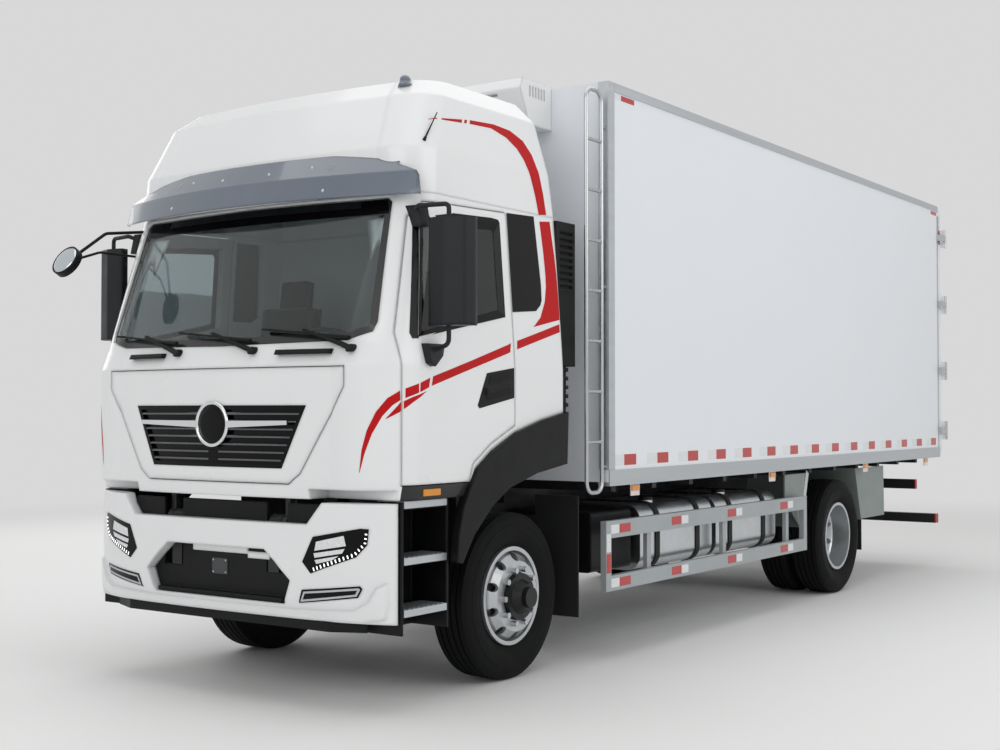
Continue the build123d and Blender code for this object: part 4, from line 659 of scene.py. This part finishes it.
def tapeGuards(look):
    runs = []
    for y0, y1, redFirst in look["pairs"]:
        split = y0 + (y1 - y0) * (look["share"] if redFirst else 1 - look["share"])
        for z0, z1 in look["rails"]:
            runs.append((y0, split - tape["gap"], z0, z1, 0 if redFirst else 1))
            runs.append((split + tape["gap"], y1, z0, z1, 1 if redFirst else 0))
    y0, y1, red, white = look["post"]
    runs += [(y0, y1, *red, 0), (y0, y1, *white, 1)]
    layTape("guard_tape_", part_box("side_guards")[1].x * 1000, runs)


tapeBox(boxTape)
tapeGuards(guardTape)
print("tape laid")

# Along each side: marker lamps under the bottom rail, a bright strip on the mudguard, ribbed step treads and
# an amber lamp on the sill. A marker's y counts from its middle, a tread's z from its height.
markers = {"places": (1177, 3421, 5529, 7274), "plate": ((1270, -60, 1062), (1276, 60, 1141), 0.0015),
           "lens": ((1274, -52, 1096), (1284, 52, 1133), 0.003)}
guardStrip = {"low": (1202, 4168, 640), "high": (1202, 4316, 1110), "section": (0.012, 0.055), "edge": 0.003}
treads = {"heights": (1140, 838, 560), "plate": ((1010, -1196, 0), (1198, -820, 5), 0.0015),
          "nose": ((1192, -1196, -34), (1200, -820, 5), 0.0015),
          "rib": ((1022, -5, 4), (1186, 5, 9), 0.002), "ribPlaces": [-1176 + 42 * i for i in range(9)]}
sillLamp = ((1224, -1075, 1168), (1240, -925, 1206), 0.005)


def dressSides():
    for side, sideName in sides:
        mesh = bmesh.new()
        for y in markers["places"]:
            addPlate(mesh, side, markers["plate"], y)
            addPlate(mesh, side, markers["lens"], y, finishIndex=1)
        newPiece(mesh, "side_markers_" + sideName, "chassis", ["whiteMarkerLens", "amberLens"])

        mesh = bmesh.new()
        low, high = [at(side * x, y, z) for x, y, z in (guardStrip["low"], guardStrip["high"])]
        run = high - low
        turn = Matrix.Rotation(-math.atan2(run.y, run.z), 3, "X")
        middle = (low + high) / 2
        size = Vector((*guardStrip["section"], run.length))
        addBox(mesh, middle - size / 2, middle + size / 2, guardStrip["edge"], 0, turn)
        newPiece(mesh, "guard_strip_" + sideName, "chassis", ["tankAluminium"])

        mesh = bmesh.new()
        for z in treads["heights"]:
            addPlate(mesh, side, treads["plate"], 0, z)
            addPlate(mesh, side, treads["nose"], 0, z)
            for y in treads["ribPlaces"]:
                addPlate(mesh, side, treads["rib"], y, z)
        newPiece(mesh, "step_treads_" + sideName, "chassis", ["railAluminium"])

        mesh = bmesh.new()
        addPlate(mesh, side, sillLamp)
        newPiece(mesh, "sill_lamp_" + sideName, "cab", ["amberLens"])


dressSides()
print("sides dressed")


def frontOn(y, side=1):  # puts a drawing of the truck's front at this depth
    return lambda p: at(side * p.x, y, p.y)


def sideOn(x, side):  # puts a drawing of the truck's side at this distance from the middle
    return lambda p: at(side * x, p.x, p.y)


def layBands(name, loops, flat, body, finishKey, facing, filled=False, steps=4):
    # bands between outlines with the same number of corners, each laid on its own nodes
    mesh = bmesh.new()
    rings = []
    for outline, nodes, lift in loops:
        surface = surfaceOf(*nodes)
        ring = []
        for i, p in enumerate(outline):
            for step in range(steps):
                place = flat(Vector(p).lerp(Vector(outline[(i + 1) % len(outline)]), step / steps))
                ring.append(mesh.verts.new(touch(surface, place, facing) + facing * lift))
        rings.append(ring)
    for a, b in zip(rings, rings[1:]):
        for i in range(len(a)):
            mesh.faces.new((a[i - 1], a[i], b[i], b[i - 1]))
    if filled:
        bmesh.ops.triangulate(mesh, faces=[mesh.faces.new(rings[-1])])
    faceOut(mesh, facing)
    newPiece(mesh, name, body, [finishKey])


def addRing(mesh, outline, width, flat):
    # a border band just inside an outline given as 2-D points
    corners = [Vector(p) for p in outline]
    middle = sum(corners, Vector((0, 0))) / len(corners)
    loops = []
    for inset in (0.0, width):
        ring = []
        for i, p in enumerate(corners):
            a, b = corners[i - 1], corners[(i + 1) % len(corners)]
            toA, toB = (a - p).normalized(), (b - p).normalized()
            inward = toA + toB
            if inward.length < 0.05:  # a point on a straight run
                inward = middle - p
            direction = inward.normalized()
            if direction.dot(middle - p) < 0:
                direction = -direction
            step = inset / max(math.sin(toA.angle(toB) / 2), 0.35)  # a sharp corner runs in only so far
            ring.append(mesh.verts.new(flat(p + direction * step)))
        loops.append([mesh.edges.new((ring[i - 1], ring[i])) for i in range(len(ring))])
    bmesh.ops.bridge_loops(mesh, edges=loops[0] + loops[1])
    bmesh.ops.subdivide_edges(mesh, edges=[e for loop in loops for e in loop], cuts=7, use_grid_fill=True)


def layRing(name, outline, width, flat, node, body, finishKey, facing, lift=0.0015):
    mesh = bmesh.new()
    addRing(mesh, outline, width, flat)
    surface = surfaceOf(node)
    for v in mesh.verts:
        v.co = touch(surface, v.co, facing) + facing * lift
    faceOut(mesh, facing)
    newPiece(mesh, name, body, [finishKey], smooth=True)


def bothWays(half):  # completes an outline drawn for one side
    return half + [(-x, z) for x, z in reversed(half) if x]


# Black edges round the glass. Drawings of the front and the sides stand at these depths, in mm.
screenY, bumperY, grilleY, glassX, doorX = -1250, -1400, -1420, 1180, 1230
screenEdge = bothWays([(0, 2002), (900, 2016), (1042, 2058), (1056, 2110), (994, 2782), (962, 2808), (0, 2814)])
fritWidth, doorLift, glassLift = 42, 0.003, 0.002
doorSurround = {
    "outer": [(-1144, 2020), (-1155, 2050), (-1031, 2692), (-725, 2748), (-350, 2764), (-286, 2760),
              (-272, 2744), (-272, 2182)],
    "edge": [(-1112, 2022), (-1113, 2040), (-1007, 2686), (-725, 2710), (-350, 2738), (-290, 2743),
             (-283, 2738), (-283, 2190)],
    "glass": [(-1066, 2062), (-1068, 2078), (-978, 2640), (-725, 2668), (-352, 2694), (-336, 2690),
              (-326, 2672), (-326, 2222)]}
quarterPane = [(-192, 2216), (-192, 2812), (104, 2824), (138, 2400), (134, 2306), (116, 2276), (64, 2238)]
layRing("screen_frit", screenEdge, fritWidth, frontOn(screenY), "cab_glass", "cab", "ceramicFrit",
        front)
for side, sideName in sides:
    facing = Vector((side, 0, 0))
    door = "door_" + sideName
    loops = [(doorSurround["outer"], [door], doorLift), (doorSurround["edge"], [door], doorLift),
             (doorSurround["glass"], ["door_glass_" + sideName], glassLift)]
    layBands("door_surround_" + sideName, loops, sideOn(glassX, side), door + "_body", "glossMoulding",
             facing)
    layBands("quarter_film_" + sideName, [(quarterPane, ["cab_shell", "cab_roof"], doorLift)],
             sideOn(glassX, side), "cab", "glossMoulding", facing, filled=True)
print("glass edged")


def layPatch(mesh, outline, flat, surface, facing, lift=0.0015, finishIndex=0, cuts=3):
    # a thin skin with this outline, laid on a surface along one direction
    base = bmesh.new()
    face = base.faces.new([base.verts.new(flat(Vector(p))) for p in outline])
    bmesh.ops.triangulate(base, faces=[face])
    bmesh.ops.subdivide_edges(base, edges=base.edges[:], cuts=cuts, use_grid_fill=True)
    bmesh.ops.triangulate(base, faces=base.faces[:])
    made = {}
    for v in base.verts:
        made[v] = mesh.verts.new(touch(surface, v.co, facing) + facing * lift)
    for f in base.faces:
        corners = [made[v] for v in f.verts]
        if (corners[1].co - corners[0].co).cross(corners[2].co - corners[0].co).dot(facing) < 0:
            corners.reverse()
        skin = mesh.faces.new(corners)
        skin.material_index = finishIndex
        skin.smooth = True
    base.free()


def addSpin(mesh, profile, centre, axis, steps, finishIndex=0):
    # a turned piece: profile gives distance from the axis and place along it, in mm
    axis = Vector(axis).normalized()
    across = axis.orthogonal().normalized()
    before = set(mesh.faces)
    verts = [mesh.verts.new(centre + across * r / 1000 + axis * h / 1000) for r, h in profile]
    edges = [mesh.edges.new(pair) for pair in zip(verts, verts[1:])]
    bmesh.ops.spin(mesh, geom=verts + edges, cent=centre, axis=axis, angle=math.tau, steps=steps, use_merge=True)
    bmesh.ops.remove_doubles(mesh, verts=mesh.verts, dist=0.00002)
    faces = [f for f in mesh.faces if f not in before]
    for face in faces:
        face.material_index = finishIndex
        face.smooth = True
    bmesh.ops.recalc_face_normals(mesh, faces=faces)


def addHull(mesh, corners, finishIndex=0):
    made = [mesh.verts.new(c) for c in corners]
    hull = bmesh.ops.convex_hull(mesh, input=made)
    for face in [f for f in hull["geom"] if isinstance(f, bmesh.types.BMFace)]:
        face.material_index = finishIndex


# Headlamps: silvered bowls in the inner part, short white strokes along the outer and lower edges, and a bright
# frame round each fog lamp. Points are x and z, and a stroke is its three sizes.
headlamp = {"bowls": ([(760, 925), (925, 962), (938, 908), (750, 876)],
                      [(745, 862), (932, 893), (918, 868), (752, 838)],
                      [(752, 826), (900, 854), (862, 830), (764, 806)]),
            "strokes": [(1040, 984), (1034, 922), (982, 862), (735, 772)], "count": 17, "stroke": (19, 4, 7),
            "strokeEdge": 0.0012, "bowlLift": 0.002, "ahead": -1800, "reach": 2.0,
            "fog": [(668, 650), (1002, 685), (1010, 678), (990, 640), (640, 592)], "fogWidth": 11}


def lightFront(look):
    surface = surfaceOf("headlamps")
    legs = [(Vector(a), Vector(b) - Vector(a)) for a, b in zip(look["strokes"], look["strokes"][1:])]
    total = sum(leg.length for _, leg in legs)
    half = Vector(look["stroke"]) / 2000
    for side, sideName in sides:
        mesh = bmesh.new()
        for outline in look["bowls"]:
            layPatch(mesh, outline, frontOn(bumperY, side), surface, front, look["bowlLift"])
        for i in range(look["count"]):
            along = total * (i + 0.5) / look["count"]
            for start, leg in legs:
                if along <= leg.length:
                    break
                along -= leg.length
            p = start + leg.normalized() * along
            spot = surface.ray_cast(at(side * p.x, look["ahead"], p.y), -front, look["reach"])[0]
            if spot:
                turn = Matrix.Rotation(math.atan2(leg.x * side, leg.y), 3, "Y")
                addBox(mesh, spot - half, spot + half, look["strokeEdge"], 1, turn)
        newPiece(mesh, "headlamp_" + sideName, "chassis", ["silveredBowl", "whiteLedStrip"])
        fog = [(side * x, z) for x, z in look["fog"]]
        layRing("fog_frame_" + sideName, fog, look["fogWidth"], frontOn(bumperY), "headlamps", "chassis",
                "railAluminium", front)


lightFront(headlamp)

# The bumper's raised lower edge, which climbs at each corner, and a screwed cover plate in its opening
lip = {"half": [(0, 497), (1010, 497), (1130, 520), (1150, 610), (1146, 716), (1096, 690), (1050, 610), (965, 560),
                (575, 548), (0, 548)], "proud": 0.02, "sunk": 0.004, "cuts": 5}
coverPlate = {"place": (-30, 0, 740), "half": (0.062, 0.006, 0.046), "edge": 0.004,
              "screws": ((-50, -34), (-50, 34), (50, -34), (50, 34)), "screw": [(0, 4), (5, 3), (7, 0), (0, -1)],
              "steps": 12}
frontView = {"clear": 2.2, "reach": 3.0}  # rays from well ahead of the cab
topView = {"clear": 4.5, "reach": 4.5}  # rays from above the roof


def raiseLip(look):
    mesh = bmesh.new()
    layPatch(mesh, bothWays(look["half"]), frontOn(bumperY), surfaceOf("bumper"), front, look["proud"],
             cuts=look["cuts"])
    rims = [e for e in mesh.edges if e.is_boundary]
    made = bmesh.ops.extrude_edge_only(mesh, edges=rims)["geom"]
    for v in [g for g in made if isinstance(g, bmesh.types.BMVert)]:
        v.co -= front * (look["proud"] + look["sunk"])
    bmesh.ops.recalc_face_normals(mesh, faces=mesh.faces)
    newPiece(mesh, "bumper_lip", "chassis", ["whiteEnamel"], True)


def coverOpening(look):
    mesh = bmesh.new()
    spot = touch(surfaceOf("bumper_insert"), at(*look["place"]), front, **frontView)
    half = Vector(look["half"])
    addBox(mesh, spot - half, spot + half, look["edge"])
    for x, z in look["screws"]:
        centre = spot + Vector((x / 1000, -half.y, z / 1000))
        addSpin(mesh, look["screw"], centre, front, look["steps"], 1)
    newPiece(mesh, "cover_plate", "chassis", ["cabTrim", "drawnStainless"])


raiseLip(lip)
coverOpening(coverPlate)

# Grille: grey strips on the slats as painted highlights on their edges, two tapered chrome bars and a plain ringed
# disc
grille = {"slats": 7, "low": 1337, "pitch": 42.86, "bar": 7, "inner": 40, "inset": 26, "lift": 0.0012, "cuts": 2,
          "edge": ((515, 1313), (681, 1661)),  # x and z of the opening's lower and upper corners
          "chrome": ((128, 1536, 1574), (585, 1554, 1577)), "proud": (-0.007, 0.006)}
disc = {"place": (0, 0, 1555), "sunk": 0.002, "steps": 48,
        "face": [(0, 7), (79.2, 6), (108, 4), (110, 2), (110, -3), (0, -3)],
        "ring": [(110, 0), (112, 9), (121, 13), (130, 9), (132, 0), (132, -3), (110, -3), (110, 0)]}


def dressGrille(look):
    surface = surfaceOf("grille", "front_hatch")
    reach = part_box("grille")[0].y
    mesh = bmesh.new()
    (x0, z0), (x1, z1) = look["edge"]
    # a grey strip on each slat's face is a painted highlight, not the slat's own colour
    for i in range(look["slats"]):
        z = look["low"] + (i + 0.5) * look["pitch"]
        half = x0 + (x1 - x0) * (z - z0) / (z1 - z0) - look["inset"]
        low, high = z - look["bar"], z + look["bar"]
        for side, _ in sides:
            points = [(look["inner"], low), (half, low), (half, high), (look["inner"], high)]
            layPatch(mesh, points, frontOn(grilleY, side), surface, front, look["lift"], cuts=look["cuts"])
    (x0, low0, high0), (x1, low1, high1) = look["chrome"]
    for side, _ in sides:
        corners = []
        for depth in look["proud"]:
            for x, z in ((x0, low0), (x1, low1), (x1, high1), (x0, high0)):
                corners.append(at(side * x, 0, z))
                corners[-1].y = reach + depth
        addHull(mesh, corners, 1)
    newPiece(mesh, "grille_bars", "hatch", ["slatEdgeHighlightPaint", "platedChrome"])

    mesh = bmesh.new()
    centre = at(*disc["place"])
    centre.y = reach + disc["sunk"]
    addSpin(mesh, disc["face"], centre, front, disc["steps"], 0)
    addSpin(mesh, disc["ring"], centre, front, disc["steps"], 1)
    newPiece(mesh, "grille_disc", "hatch", ["glossMoulding", "platedChrome"])


dressGrille(grille)
print("front dressed")

# Small cab fittings, in mm from the front axle
handle = {"recess": [(-487, 1847), (-208, 1884), (-208, 1706), (-560, 1644), (-578, 1660)],
          "pockets": ([(-455, 1832), (-250, 1860), (-250, 1822), (-470, 1786)],
                      [(-500, 1722), (-255, 1760), (-255, 1728), (-480, 1690)]),
          "grip": ((1230, -505, 1742), (1250, -248, 1786)), "slope": (60, 330), "edge": 0.006,
          "recessLift": 0.002, "pocketLift": 0.0035}
doorMirror = {"plan": ((1254, -999.5), (1484, -920)),  # the head's glass side, seen from above
              "pane": [(0.08, 2120), (0.92, 2120), (0.92, 2650), (0.08, 2650)]}  # share of the plan, and z
# gloss black band along the top of the screen: its dark tint band together with painted shade from the visor above
screenTintAndShadeBand = {"outline": [(-986, 2722), (986, 2722), (960, 2804), (-960, 2804)], "lift": 0.001, "cuts": 9}
visorScrew = {"places": ((-616, 2863), (616, 2863), (-189, 2995), (189, 2995), (-485, 3012), (485, 3012)),
              "profile": [(0, 5), (7, 4), (11, 1), (12, -2), (0, -2)], "steps": 16}
antenna = {"base": (1111, -917, 3140), "tip": (1128, -820, 3310), "sunk": 0.006, "edge": 0.002,
           "foot": (0.12, 0.011, 0.007), "whip": (0.1, 0.005, 0.003)}  # share of the length, and two radii
dome = {"place": (870, -785, 0), "steps": 28,
        "profile": [(0, 58), (16, 55), (29, 44), (35, 26), (36, 6), (42, 4), (43, -12), (0, -12)]}
roundMirror = {"centre": (-1185, -1530.9, 2545), "axis": (0, -0.866, 0.5), "face": 22, "steps": 40,
               "profile": [(0, 7), (45, 6), (76.5, 3.5), (90, 0.5), (90, -2), (0, -2)]}
bracket = {"place": (-25, 0, 845), "plates": ((-247, 197, 822, 867), (197, 365, 800, 838)), "depth": (-0.008, 0.004)}


def fitDoors():
    for side, sideName in sides:
        facing = Vector((side, 0, 0))
        door = "door_" + sideName
        surface = surfaceOf(door)
        mesh = bmesh.new()
        layPatch(mesh, handle["recess"], sideOn(doorX, side), surface, facing, handle["recessLift"], 1)
        for pocket in handle["pockets"]:
            layPatch(mesh, pocket, sideOn(doorX, side), surface, facing, handle["pocketLift"])
        a, b = [at(side * x, y, z) for x, y, z in handle["grip"]]
        addBox(mesh, a, b, handle["edge"], 1, Matrix.Rotation(math.atan2(*handle["slope"]), 3, "X"))
        newPiece(mesh, "door_handle_" + sideName, door + "_body", ["glossMoulding", "blackMoulding"])

        mesh = bmesh.new()
        (xa, ya), (xb, yb) = doorMirror["plan"]
        back = Vector((side * (ya - yb), xb - xa, 0)).normalized()
        layPatch(mesh, doorMirror["pane"], lambda p: at(side * (xa + (xb - xa) * p.x), ya + (yb - ya) * p.x, p.y),
                 surfaceOf("mirror_" + sideName), back)
        newPiece(mesh, "mirror_glass_" + sideName, door + "_body", ["silveredGlass"])


def fitCab():
    # the screen's top band: dark tint plus the visor's shadow painted on as black
    mesh = bmesh.new()
    layPatch(mesh, screenTintAndShadeBand["outline"], frontOn(screenY), surfaceOf("cab_glass"), front, screenTintAndShadeBand["lift"],
             cuts=screenTintAndShadeBand["cuts"])
    newPiece(mesh, "screen_tint_and_shade_band", "cab", ["glossMoulding"])

    mesh = bmesh.new()
    visor = surfaceOf("sun_visor")
    for x, z in visorScrew["places"]:
        spot = touch(visor, at(x, 0, z), front, **frontView)
        addSpin(mesh, visorScrew["profile"], spot, front, visorScrew["steps"])
    newPiece(mesh, "visor_screws", "cab", ["drawnStainless"])

    mesh = bmesh.new()
    roof = surfaceOf("cab_roof")
    foot = roof.find_nearest(at(*antenna["base"]))[0]
    run = at(*antenna["tip"]) - foot
    share, radius, endRadius = antenna["foot"]
    addRod(mesh, foot - run.normalized() * antenna["sunk"], foot + run * share, radius, endRadius,
           edge=antenna["edge"])
    share, radius, endRadius = antenna["whip"]
    addRod(mesh, foot + run * share, at(*antenna["tip"]), radius, endRadius, segments=12)
    newPiece(mesh, "whip_antenna", "cab", ["blackMoulding"])

    mesh = bmesh.new()
    spot = touch(roof, at(*dome["place"]), up, **topView)
    addSpin(mesh, dome["profile"], spot, up, dome["steps"])
    newPiece(mesh, "roof_marker", "cab", ["smokedAcrylic"])

    mesh = bmesh.new()
    axis = Vector(roundMirror["axis"]).normalized()
    centre = at(*roundMirror["centre"]) + axis * (roundMirror["face"] / 1000)
    addSpin(mesh, roundMirror["profile"], centre, axis, roundMirror["steps"])
    newPiece(mesh, "round_mirror_glass", "cab", ["silveredGlass"])

    mesh = bmesh.new()  # bare plate bracket over the bumper opening
    spot = touch(surfaceOf("bumper_insert", "bumper"), at(*bracket["place"]), front, **frontView)
    for x0, x1, z0, z1 in bracket["plates"]:
        low, high = at(x0, 0, z0), at(x1, 0, z1)
        low.y, high.y = [spot.y + depth for depth in bracket["depth"]]
        addBox(mesh, low, high)
    newPiece(mesh, "plate_bracket", "chassis", ["whiteEnamel"])


fitDoors()
fitCab()
print("cab fittings added")

foam = {"rounding": 0.9, "pullIn": 0.06, "seamWidth": 0.05, "seamDepth": 0.010, "edgeRound": 1.6}


def addCushion(mesh, low, high, crown, channels, turn=None, cuts=14):
    # foam under cloth: rounded edges, a crowned top, sides that pull in, and sewn channels across
    base = bmesh.new()
    bmesh.ops.create_cube(base, size=2)
    bmesh.ops.subdivide_edges(base, edges=base.edges[:], cuts=cuts, use_grid_fill=True)
    half = (high - low) / 2
    for v in base.verts:
        p = v.co.copy()
        rounded = Vector(math.copysign(abs(c) ** foam["rounding"], c) for c in p)
        pull = 1 - foam["pullIn"] * (1 - abs(p.z)) * (1 - max(abs(p.x), abs(p.y)) ** 8 * 0.3)
        edge = 1 - foam["edgeRound"] * max(0, abs(p.x) - 0.8) * max(0, abs(p.z) - 0.7)
        top = crown * (1 - p.x ** 4) * (1 - p.y ** 4) * max(p.z, 0)
        seam = sum(math.exp(-((p.x - c) / foam["seamWidth"]) ** 2) for c in channels)
        sunk = seam * max(p.z, 0) ** 4 * foam["seamDepth"]
        v.co = Vector((rounded.x * half.x * pull * edge, rounded.y * half.y * pull * edge,
                       rounded.z * half.z + top - sunk))
    if turn:
        bmesh.ops.rotate(base, matrix=turn, cent=(0, 0, 0), verts=base.verts)
    bmesh.ops.translate(base, vec=(low + high) / 2, verts=base.verts)
    made = {v: mesh.verts.new(v.co) for v in base.verts}
    for f in base.faces:
        mesh.faces.new([made[v] for v in f.verts]).smooth = True
    base.free()


# Seats: places in y and z count from the base's back and top; pad sizes are half sizes in metres
seat = {"x": 520, "half": 238, "y": (-684, -262), "z": 1660, "lean": 8, "cushion": (4, 108), "crown": 0.012,
        "channels": (-0.55, 0.55), "back": ((-12, 372), (0.238, 0.27, 0.046)),
        "head": ((68, 728), (0.125, 0.095, 0.036)), "headCrown": 0.006,
        "base": {"half": 165, "y": (45, -55), "low": 1420, "high": 8, "edge": 0.012},
        "posts": {"x": (-60, 60), "low": (45, 600), "high": (62, 660), "radius": 0.007}}
bunk = {"gap": 0.01, "depth": (0.38, 0.005), "under": (0.108, 0.012), "crown": 0.012, "channels": (-0.33, 0.33)}


def makeSeats(look):
    x, half, z = look["x"], look["half"], look["z"]
    y0, y1 = look["y"]
    low, high = look["cushion"]
    lean = Matrix.Rotation(math.radians(90 - look["lean"]), 3, "X")
    base, posts = look["base"], look["posts"]
    for side, sideName in sides:
        mesh = bmesh.new()
        addCushion(mesh, at(side * x - half, y0, z + low), at(side * x + half, y1, z + high), look["crown"],
                   look["channels"])
        (dy, dz), size = look["back"]
        middle, size = at(side * x, y1 + dy, z + dz), Vector(size)
        addCushion(mesh, middle - size, middle + size, look["crown"], look["channels"], lean)
        (dy, dz), size = look["head"]
        middle, size = at(side * x, y1 + dy, z + dz), Vector(size)
        addCushion(mesh, middle - size, middle + size, look["headCrown"], (), lean, cuts=8)
        piece = newPiece(mesh, "seat_cushions_" + sideName, "cab", ["seatCloth"], True)
        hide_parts("seats")
        mesh = bmesh.new()
        addBox(mesh, at(side * x - base["half"], y0 + base["y"][0], base["low"]),
               at(side * x + base["half"], y1 + base["y"][1], z + base["high"]), base["edge"])
        for post in posts["x"]:
            ends = [at(side * x + post, y1 + dy, z + dz) for dy, dz in (posts["low"], posts["high"])]
            addRod(mesh, *ends, posts["radius"], segments=12)
        piece = newPiece(mesh, "seat_base_" + sideName, "cab", ["cabTrim"])
        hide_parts("seats")


def makeBunk(look):
    nodeLow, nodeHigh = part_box("seats")
    mesh = bmesh.new()
    low = Vector((nodeLow.x + look["gap"], nodeHigh.y - look["depth"][0], 0))
    high = Vector((nodeHigh.x - look["gap"], nodeHigh.y - look["depth"][1], 0))
    spot = touch(surfaceOf("seats"), Vector((0, (low.y + high.y) / 2, 0)), up, **topView)
    low.z, high.z = [spot.z - depth for depth in look["under"]]
    addCushion(mesh, low, high, look["crown"], look["channels"])
    piece = newPiece(mesh, "bunk_mattress", "cab", ["seatCloth"], True)
    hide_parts("seats")


makeSeats(seat)
makeBunk(bunk)
print("seats padded")

# Tyres: ribbed tread with four grooves and a raised ring on each side wall, in mm from the tyre's middle
tyre = {"side": [(286, 96), (304, 97), (318, 106), (345, 123), (395, 135), (424, 135), (426, 136.5), (432, 136.5),
                 (434, 134), (470, 128), (481, 123)],
        "tread": 504, "shoulder": 107, "crown": 2, "grooves": (-66, -23, 23, 66), "grooveHalf": 6, "taper": 2,
        "depth": 13, "steps": 96, "sharp": 0.6}
wheels = {"tyre_front_left": ("wheel_front_left", (960,), axleY),
          "tyre_front_right": ("wheel_front_right", (-960,), axleY),
          "tyres_rear_left": ("wheel_rear_left", (1092, 776), rearAxleY),
          "tyres_rear_right": ("wheel_rear_right", (-1092, -776), rearAxleY)}


def makeTyres(look):
    shoulder = look["tread"] - look["crown"]
    half, foot = look["grooveHalf"], look["grooveHalf"] - look["taper"]
    tread = [(shoulder, -look["shoulder"])]
    for h in look["grooves"]:
        rim = look["tread"] + look["crown"] * (1 - abs(h) / look["shoulder"])
        floor = rim - look["depth"]
        tread += [(rim, h - half), (floor, h - foot), (floor, h + foot), (rim, h + half)]
    tread.append((shoulder, look["shoulder"]))
    inner = [(r, -h) for r, h in look["side"]]
    profile = inner + tread + look["side"][::-1] + inner[:1]
    for node, (body, places, y) in wheels.items():
        mesh = bmesh.new()
        for x in places:
            addSpin(mesh, profile, Vector((x / 1000, y, axleZ)), (1, 0, 0), look["steps"])
        for edge in mesh.edges:
            edge.smooth = edge.calc_face_angle(0) < look["sharp"]
        piece = newPiece(mesh, node.replace("tyre", "ribbed_tyre"), body, ["tyreRubber"])
        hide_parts(node)


makeTyres(tyre)
print("tyres made")

print("pieces done")
